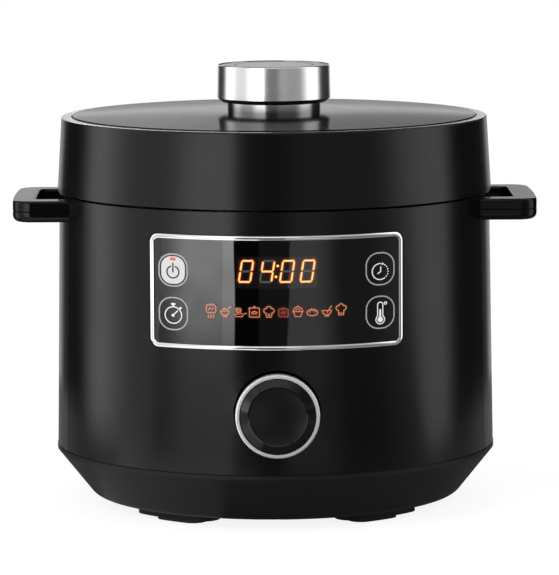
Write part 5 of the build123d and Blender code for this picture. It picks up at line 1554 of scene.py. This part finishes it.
@dataclass
class Display:
    """The lit time display in the window: four leaning seven-segment digits and a colon."""

    half_width: float = 27.6
    low: float = 171.1
    high: float = 192.7
    middle: float = 182.75
    digit_half_width: float = 3.85
    digit_half_height: float = 7.2
    bar: float = 1.45
    bar_length: float = 6.5
    level_stretch: float = 1.25
    lean: float = 0.16
    halo: float = 1.5
    window_face: float = 0.8
    bar_cut: float = 0.8
    bar_depth: float = 0.08
    bar_edge_glow: float = 0.7
    dark_proud: float = 0.07
    halo_proud: float = 0.05
    lit_proud: float = 0.1
    face_corner: float = 2.5
    face_pitch: float = 2.0
    face_columns: int = 24
    face_proud: float = 0.02
    face_depth: float = 0.06
    spot_radius: float = 0.95
    spot_sides: int = 16
    spot_core: float = 0.2
    spot_edge_glow: float = 0.3
    digits: tuple[tuple[int, float], ...] = ((0, -20.9), (4, -6.5), (0, 7.0), (0, 20.9))
    colon: tuple[Flat, ...] = ((0.6, 186.5), (-0.6, 179.1))

    def outline(self, grow: float) -> list[Flat]:
        """A bar's outline with cut corners, pushed out all round.

        Args:
            grow: how far it is pushed out, in millimetres.

        Returns:
            The outline, about the middle of the bar.
        """
        half, long = self.bar / 2 + grow, self.bar_length / 2 + grow
        cut = half * self.bar_cut
        return [(long, half - cut), (long - cut, half), (cut - long, half), (-long, half - cut),
                (-long, cut - half), (cut - long, -half), (long - cut, -half), (long, cut - half)]

    def bar_shape(self, grow: float) -> Mesh:
        """One bar along x, with a faded border where it grows past its outline.

        Args:
            grow: the width of the border, in millimetres.

        Returns:
            The mesh.
        """
        edge = self.outline(0.0)
        end = (self.bar_length - self.bar) / 2
        core = [(max(-end, min(end, x)), 0.0) for x, _ in edge]
        rings = [(core, 1.0), (edge, self.bar_edge_glow if grow else 0.0)]
        if grow:
            rings.append((self.outline(grow), 0.0))
        return tile("bar", rings, self.bar_depth)

    def seats(self, lit: bool) -> list[Seat]:
        """Where the bars go, upright.

        Args:
            lit: whether lit or dark bars are asked for.

        Returns:
            Places, turns and stretches of the bars.
        """
        found = []
        for number, x in self.digits:
            for segment in Segment:
                across, up, turn = segment.value
                if (segment in DARK_SEGMENTS[number]) is lit:
                    continue
                right, rise = x + across * self.digit_half_width, up * self.digit_half_height
                spot = Vector((right * MM, 0.0, rise * MM))
                stretch = UNSTRETCHED if turn else Vector((self.level_stretch, 1.0, 1.0))
                found.append((spot, Euler((0.0, math.radians(turn), 0.0)), stretch))
        return found

    def on_window(self, x: float, z: float, proud: float) -> Vector:
        """Leans a digit's point and puts it on the window."""
        return WALL.at(x + z * self.lean, self.middle + z, self.window_face + proud)

    def face(self) -> Mesh:
        """The slightly lighter field behind the digits.

        Returns:
            The mesh, in place.
        """
        half_z = (self.high - self.low) / 2
        middle = (self.high + self.low) / 2
        shape = bmesh.new()
        outline = rounded_box(self.half_width, half_z, self.face_corner, self.face_pitch)
        columns = [-self.half_width + 2 * self.half_width * i / self.face_columns
                   for i in range(1, self.face_columns)]
        inside = [(x, z) for x in columns for z in (-half_z * 0.5, 0.0, half_z * 0.5)]
        count = len(outline)
        edges = [(i, (i + 1) % count) for i in range(count)]
        field = [Vector(point) for point in outline + inside]
        points, _, faces, *_ = delaunay_2d_cdt(field, edges, [], 1, NEAR_POINT)
        proud = self.window_face + self.face_proud
        made = [shape.verts.new(WALL.at(point.x, middle + point.y, proud)) for point in points]
        sheet = [shape.faces.new([made[i] for i in face]) for face in faces]
        bmesh.ops.recalc_face_normals(shape, faces=sheet)
        if sheet[0].normal.y > 0:
            bmesh.ops.reverse_faces(shape, faces=sheet)
        bmesh.ops.solidify(shape, geom=sheet, thickness=self.face_depth * MM)
        return closed_mesh(shape, "display_face")

    def build(self) -> None:
        """Makes the field, the bars, their halo and the colon."""
        piece("display_face", self.face(), DISPLAY_FACE, "housing", weighted=False)
        for name, finish, lit, grow, proud in (
                ("digit_bars_dark", DIGIT_DARK, False, 0.0, self.dark_proud),
                ("digit_halo", DIGIT_HALO, True, self.halo, self.halo_proud),
                ("digit_bars_lit", DIGIT_LIT, True, 0.0, self.lit_proud)):
            mesh = repeat(name, self.bar_shape(grow), finish, self.seats(lit))
            lay_on(mesh, lambda x, z, y, proud=proud: self.on_window(x, z, proud + y))
            piece(name, mesh, finish, "housing", weighted=False)
        spot = ring(0.0, 0.0, self.spot_radius, self.spot_sides)
        core = [(x * self.spot_core, z * self.spot_core) for x, z in spot]
        dots = [(Vector((x * MM, 0.0, z * MM)), Euler((0.0, 0.0, 0.0)), UNSTRETCHED) for x, z in self.colon]
        shape = tile("dot", [(core, 1.0), (spot, self.spot_edge_glow)], self.bar_depth)
        mesh = repeat("digit_colon", shape, DIGIT_LIT, dots)
        lay_on(mesh, lambda x, z, y: WALL.at(x, z, self.window_face + self.lit_proud + y))
        piece("digit_colon", mesh, DIGIT_LIT, "housing", weighted=False)


@dataclass
class Programmes:
    """The row of lit cooking marks under the display."""

    first: float = -44.85
    pitch: float = 9.84
    height: float = 155.0
    face: float = 0.86
    line: float = 0.5
    glow: float = 1.9
    glow_drop: float = 0.03
    corner: float = 0.8
    side_step: float = 1.0
    red: int = 5

    def line_of(self, *points: Flat) -> Stroke:
        """An open line through points."""
        return Stroke(points, self.line)

    def bow(self, x: float, z: float, radius: float, start: float, end: float) -> Stroke:
        """An arc."""
        return Stroke(arc(x, z, radius, start, end), self.line)

    def box(self, x: float, z: float, half_x: float, half_z: float) -> Stroke:
        """A box with rounded corners."""
        corners = rounded_box(half_x, half_z, self.corner, self.side_step)
        return Stroke([(x + a, z + b) for a, b in corners], self.line, True)

    def marks(self) -> list[list[Stroke]]:
        """The ten marks, drawn about their middles.

        Returns:
            The strokes of each mark, from left to right.
        """
        to, bow, box = self.line_of, self.bow, self.box
        oval = Stroke([(x, z * 0.58 - 0.7) for x, z in ring(0, 0, 3.7)], self.line, True)
        steamer = [box(0, 1.6, 3.2, 2.7), dot(0, 4.9, 0.5),
                   to((-1.7, 0.9), (-0.5, 2.4), (0.5, 1.0), (1.7, 2.5)),
                   *[to((x - 0.3, -4.6), (x + 0.3, -2.6)) for x in (-1.7, 0.0, 1.7)]]
        ladle = [bow(-0.4, 0.3, 3.0, 180, 360), to((-3.4, 0.3), (2.6, 0.3)), to((0.4, 0.9), (3.9, 3.4)),
                 to((-1.9, 1.1), (-0.8, 2.2), (0.1, 1.2)), to((-1.8, -3.4), (1.2, -3.4))]
        pan = [to((-3.5, -1.6), (-2.9, -3.2), (1.7, -3.2), (2.3, -1.6)), to((-3.7, -1.6), (4.2, -1.0)),
               box(-0.9, 1.0, 1.5, 1.4), to((-1.6, 1.4), (-0.2, 1.4)), to((-1.6, 0.6), (-0.2, 0.6))]
        dish = [box(0, -0.3, 3.4, 3.1), dot(0, 3.6, 0.5), bow(0, -1.9, 2.3, 35, 145),
                bow(0, -1.9, 1.2, 20, 160)]
        muffin = [bow(-1.8, 0.9, 1.7, 80, 270), bow(1.8, 0.9, 1.7, -90, 100), bow(0, 2.2, 1.7, 10, 170),
                  to((-2.2, -0.8), (-1.6, -3.5), (1.6, -3.5), (2.2, -0.8)), to((-0.6, -1.4), (-0.5, -2.8)),
                  to((0.6, -1.4), (0.5, -2.8))]
        pot = [box(0, -0.6, 3.1, 2.6), to((-0.8, 2.7), (0.8, 2.7)),
               *[to((x - 0.25, -1.4), (x + 0.25, 0.4)) for x in (-1.1, 0.0, 1.1)]]
        covered = [bow(0, 0.2, 3.2, 0, 180), to((-3.5, 0.2), (3.5, 0.2)), dot(0, 3.8, 0.4),
                   to((-3.0, 0.0), (-1.9, -3.2), (1.9, -3.2), (3.0, 0.0)),
                   to((-1.6, 1.2), (0.0, 2.2), (1.6, 1.2))]
        plate = [oval, to((-1.9, -0.4), (-0.5, 2.1), (0.5, 0.3), (1.4, 1.5), (2.0, -0.4))]
        mortar = [bow(0, 0.4, 3.0, 185, 355), to((-3.3, 0.4), (3.3, 0.4)), to((0.2, -0.8), (3.2, 3.4)),
                  to((-1.4, -3.3), (1.4, -3.3))]
        hat = [bow(-1.9, 1.8, 1.6, 80, 270), bow(1.9, 1.8, 1.6, -90, 100), bow(0, 2.9, 1.7, 10, 170),
               to((-1.9, 0.2), (-1.7, -3.0), (1.7, -3.0), (1.9, 0.2)), to((-1.7, -1.8), (1.7, -1.8))]
        return [steamer, ladle, pan, dish, muffin, pot, covered, plate, mortar, hat]

    def build(self) -> None:
        """Makes the marks in their two colours, over a faint glow."""
        marks = [[(stroke, (self.first + i * self.pitch, self.height)) for stroke in mark]
                 for i, mark in enumerate(self.marks())]
        warm = [entry for i, mark in enumerate(marks) if i != self.red for entry in mark]
        wide = [(Stroke(stroke.points, self.glow, stroke.closed), spot)
                for mark in marks for stroke, spot in mark]
        for name, finish, strokes, proud in (
                ("programme_glow", MARK_GLOW, wide, self.face - self.glow_drop),
                ("programme_marks", MARK_ORANGE, warm, self.face),
                ("programme_mark_chosen", MARK_RED, marks[self.red], self.face)):
            piece(name, drawing(name, strokes, WALL.at, proud), finish, "housing")


@dataclass
class Keys:
    """The four keys at the panel's ends and the marks on their faces."""

    face: float = 1.06
    line: float = 0.7
    half_width: float = 8.55
    half_height: float = 9.85
    corner: float = 7.45
    border_pitch: float = 1.0
    border_width: float = 0.8
    sign_width: float = 1.0
    lamp_width: float = 2.2
    stem: float = 1.3

    def middle(self, node: str) -> Flat:
        """The middle of a key's face in the front view."""
        lowest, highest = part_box(node)
        return (lowest.x + highest.x) / 2 / MM, (lowest.z + highest.z) / 2 / MM

    def ink(self, name: str, strokes: Sequence[Stroke], key: str, finish: Finish) -> None:
        """Prints strokes on a key.

        Args:
            name: the piece's name.
            strokes: what is printed.
            key: the name of the key.
            finish: the finish of the print.
        """
        spot = self.middle(key + "_button")
        mesh = drawing(name, [(stroke, spot) for stroke in strokes], WALL.at, self.face)
        piece(name, mesh, finish, key + "_key")

    def power(self) -> None:
        """The lit power key with its dark border, symbol and lamp."""
        edge = rounded_box(self.half_width, self.half_height, self.corner, self.border_pitch)
        border = Stroke(edge, self.border_width, True)
        sign = [Stroke(arc(-0.1, -1.3, 4.1, 114, 426, 36), self.sign_width),
                Stroke(((-0.1, -1.3), (-0.1, 4.5)), self.sign_width)]
        lamp = Stroke(((-1.1, 7.6), (0.9, 7.6)), self.lamp_width)
        self.ink("power_border", [border], "power", KEY_GAP)
        self.ink("power_sign", sign, "power", KEY_SYMBOL)
        self.ink("power_lamp", [lamp], "power", LAMP_RED)

    def timer(self) -> None:
        """The stopwatch on the timer key."""
        low = -1.0
        crown = [Stroke(((-0.9, 6.6), (0.9, 6.6)), self.stem), Stroke(((0, 5.0), (0, 6.0)), self.sign_width),
                 Stroke(((4.5, 3.6), (5.1, 4.2)), self.stem)]
        hand = [Stroke(((0, low), (2.9, 2.0)), self.line), dot(-0.2, low - 0.2, 1.0)]
        marks = [hoop(0, low, 5.7, self.line), *crown, *hand]
        self.ink("timer_mark", marks, "timer", KEY_PRINT)

    def delay(self) -> None:
        """The clock with a dotted half on the delayed-start key."""
        low, radius, small = -1.9, 5.5, 0.45
        marks = [Stroke(arc(0, low, radius, 88, 306, 40), self.line),
                 Stroke(((0.4, low), (0.4, low + 3.2)), self.line),
                 Stroke(((0.4, low), (-1.6, low - 1.3)), self.line)]
        dots = [(turn, small) for turn in range(-38, 35, 18)]
        for turn, spot in [*dots, (52, 0.5), (72, 0.75)]:
            (x, z), *_ = arc(0, low, radius, turn, turn, 1)
            marks.append(dot(x, z, spot))
        self.ink("delay_mark", marks, "delay", KEY_PRINT)

    def temperature(self) -> None:
        """The thermometer on the temperature key."""
        half, foot, bulb = 1.8, -2.6, -5.0
        tube = [(-half, foot), *reversed(arc(0, 5.2, half, 0, 180, 10)), (half, foot)]
        marks = [Stroke(tube, self.line), Stroke(arc(0, bulb, 3.0, 126, 414, 30), self.line),
                 dot(0, bulb, 1.9), Stroke(((0, bulb + 1.0), (0, 1.6)), self.stem),
                 hoop(3.6, 6.1, 0.85, 0.65)]
        self.ink("temperature_mark", marks, "temperature", KEY_PRINT)

    def build(self) -> None:
        """Dresses the keys and prints their marks."""
        dress(KEY_LINE, "button_rings")
        dress(KEY_LIT, "power_button")
        dress(KEY_DARK, "timer_button", "delay_button", "temperature_button")
        self.power()
        self.timer()
        self.delay()
        self.temperature()


@dataclass
class Dial:
    """The push-and-turn dial under the panel."""

    def build(self) -> None:
        """Dresses the dial."""
        dress(RING_CHROME, "dial_ring")
        dress(DIAL_BLACK, "dial_knob")
        dress(INNER_BLACK, "dial_housing")
        dress(STEEL, "dial_shaft")
        dress(MODULE_BLACK, "dial_encoder")
        dress(ACETAL, "dial_slider")


@dataclass
class Screws:
    """Pan-head screws with a cross recess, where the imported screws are."""

    head: float = 3.4
    head_height: float = 2.2
    shank: float = 1.8
    pitch: float = 0.8
    slot_half_length: float = 1.9
    slot_half_width: float = 0.45
    slot_depth: float = 1.3
    slot_taper: float = 0.75
    dome: tuple[Flat, ...] = ((0.72, 1.0), (0.93, 0.72), (1.0, 0.3))
    core: float = 0.8
    tip: float = 0.3
    lead: float = 1.6
    head_probe: float = 2.6
    sides: int = 24

    def turned(self, shape: BMesh, radius: float, z: float) -> list[BMVert]:
        """Adds a ring of points to a screw."""
        return [shape.verts.new((x * MM, y * MM, z * MM)) for x, y in ring(0.0, 0.0, radius, self.sides)]

    def recess(self, shape: BMesh, rim: list[BMVert]) -> None:
        """Closes the head inside its rim with a cross recess.

        Args:
            shape: the mesh of the screw.
            rim: the ring of points round the top of the head.
        """
        a, b = self.slot_half_width, self.slot_half_length
        cross = [(b, -a), (b, a), (a, a), (a, b), (-a, b), (-a, a),
                 (-b, a), (-b, -a), (-a, -a), (-a, -b), (a, -b), (a, -a)]
        top, taper = -self.head_height * MM, self.slot_taper
        mouth = [shape.verts.new((x * MM, y * MM, top)) for x, y in cross]
        floor = [shape.verts.new((x * MM * taper, y * MM * taper, top + self.slot_depth * MM))
                 for x, y in cross]
        corners = [Vector((vert.co.x, vert.co.y)) / MM for vert in rim + mouth]
        size, count = len(rim), len(cross)
        edges = [(k, (k + 1) % size) for k in range(size)]
        edges += [(size + k, size + (k + 1) % count) for k in range(count)]
        made = delaunay_2d_cdt(corners, edges, [], 1, NEAR_POINT)
        for face in made[2]:
            middle = sum((corners[k] for k in face), Vector((0.0, 0.0))) / len(face)
            x, y = abs(middle.x), abs(middle.y)
            if not (min(x, y) < a and max(x, y) < b):
                shape.faces.new([(rim + mouth)[k] for k in face])
        shape.faces.new(floor)
        skin(shape, (mouth, floor))

    def shape(self, length: float) -> Mesh:
        """One screw whose seat is at the origin and whose point is up.

        Args:
            length: from the seat to the point, in millimetres.

        Returns:
            The mesh in metres.
        """
        shape = bmesh.new()
        rows = [(self.head * wide, -self.head_height * high) for wide, high in self.dome]
        rows += [(self.head, 0.0), (self.shank, 0.0)]
        for k in range(int((length - self.lead) / self.pitch)):
            rows += [(self.shank * self.core, self.pitch * (k + 0.5)), (self.shank, self.pitch * (k + 1))]
        rows.append((self.shank * self.tip, length))
        rings = [self.turned(shape, radius, z) for radius, z in rows]
        skin(shape, rings)
        shape.faces.new(rings[-1])
        self.recess(shape, rings[0])
        return closed_mesh(shape, "screw", SCREW_CREASE)

    def seat(self, points: Sequence[Vector]) -> tuple[float, Seat]:
        """Reads a packed screw's length and seat from its points.

        Args:
            points: the points of one packed screw, in metres.

        Returns:
            Its length under the head in millimetres, and its seat.
        """
        low = Vector(min(point[i] for point in points) for i in range(3))
        high = Vector(max(point[i] for point in points) for i in range(3))
        along = max(range(3), key=lambda i: high[i] - low[i])
        middle = (low + high) / 2
        probe = (self.head_probe * MM) ** 2
        wide = [point[along] for point in points
                if sum((point[i] - middle[i]) ** 2 for i in range(3) if i != along) > probe]
        forward = 1.0 if sum(wide) / len(wide) < middle[along] else -1.0
        spot, way = middle.copy(), Vector((0.0, 0.0, 0.0))
        spot[along] = (low if forward > 0 else high)[along] + forward * self.head_height * MM
        way[along] = forward
        length = round((high[along] - low[along]) / MM - self.head_height, 2)
        return length, (spot, way.to_track_quat("Z", "Y").to_euler(), UNSTRETCHED)

    def build(self) -> None:
        """Sets the screws of base, handles and lid."""
        for node, body in (("base_screws", "housing"), ("handle_screws", "housing"), ("lid_screws", "lid")):
            seats: dict[float, list[Seat]] = {}
            for points in solids(node):
                length, seat = self.seat(points)
                seats.setdefault(length, []).append(seat)
            name = node.replace("_screws", "_screw_set")
            sets = [repeat(f"{name}_{k}", self.shape(length), SCREW_STEEL, places)
                    for k, (length, places) in enumerate(seats.items())]
            piece(name, together(name, sets), SCREW_STEEL, body, (node,), weighted=False)


@dataclass
class Sensor:
    """The sprung temperature sensor in the middle of the heating plate."""

    coil: float = 7.4
    wire: float = 0.6
    turns: float = 6.0
    turn_steps: int = 40
    wire_sides: int = 10

    def spring(self) -> None:
        """Winds the spring."""
        low, high = (corner.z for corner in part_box("sensor_spring"))
        wire = self.wire * MM
        pattern = Pattern("sensor_coil", {"Turns": self.turns, "Coil": self.coil * MM, "Wire": wire,
                                          "Height": high - low - 2 * wire})
        graph = pattern.graph
        path = graph.value("GeometryNodeCurveSpiral", inputs={
            "Resolution": self.turn_steps, "Rotations": pattern.size("Turns"),
            "Start Radius": pattern.size("Coil"), "End Radius": pattern.size("Coil"),
            "Height": pattern.size("Height")})
        section = graph.value("GeometryNodeCurvePrimitiveCircle", inputs={
            "Resolution": self.wire_sides, "Radius": pattern.size("Wire")})
        coil = graph.value("GeometryNodeCurveToMesh", inputs={"Curve": path, "Profile Curve": section,
                                                              "Fill Caps": True})
        mesh = pattern.mesh(coil, WIRE_STEEL)
        mesh.transform(Matrix.Translation((0, 0, low + wire)))
        mesh.shade_smooth()
        made = piece("sensor_coil", mesh, WIRE_STEEL, "", ("sensor_spring",), weighted=False)
        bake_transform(made)

    def build(self) -> None:
        """Dresses the sensor and the heater round it."""
        dress(CAST, "heating_plate", "sensor_cap")
        dress(STEEL, "sensor_holder", "heating_element")
        self.spring()


@dataclass
class Housing:
    """The housing's shells, handles, base and what stands inside and behind."""

    def build(self) -> None:
        """Dresses the housing."""
        dress(SATIN_BLACK, "front_shell")
        dress(REAR_SATIN, "rear_shell")
        dress(BASE_MATT, "base_pan")
        dress(HANDLE_GRAIN, *[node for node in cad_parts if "handle" in node and "screw" not in node])
        dress(INNER_BLACK, "top_collar", "cup_bracket")
        dress(RUBBER, "foot_pads")
        dress(STEEL, "lock_collar", "inner_well", "well_stands")
        dress(POT, "inner_pot")
        dress(MODULE_BLACK, "mains_inlet")
        dress(BRASS, "inlet_pins")
        dress(SMOKE, "condensate_cup")


def main() -> None:
    """Builds the scene in order."""
    logging.basicConfig(level=logging.INFO, format="%(message)s")
    for kind in (Stage, Housing, Lid, Knob, Panel, Display, Programmes, Keys, Dial, Screws, Sensor):
        kind().build()
        LOG.info("%s done", kind.__name__)


if __name__ == "__main__":
    main()
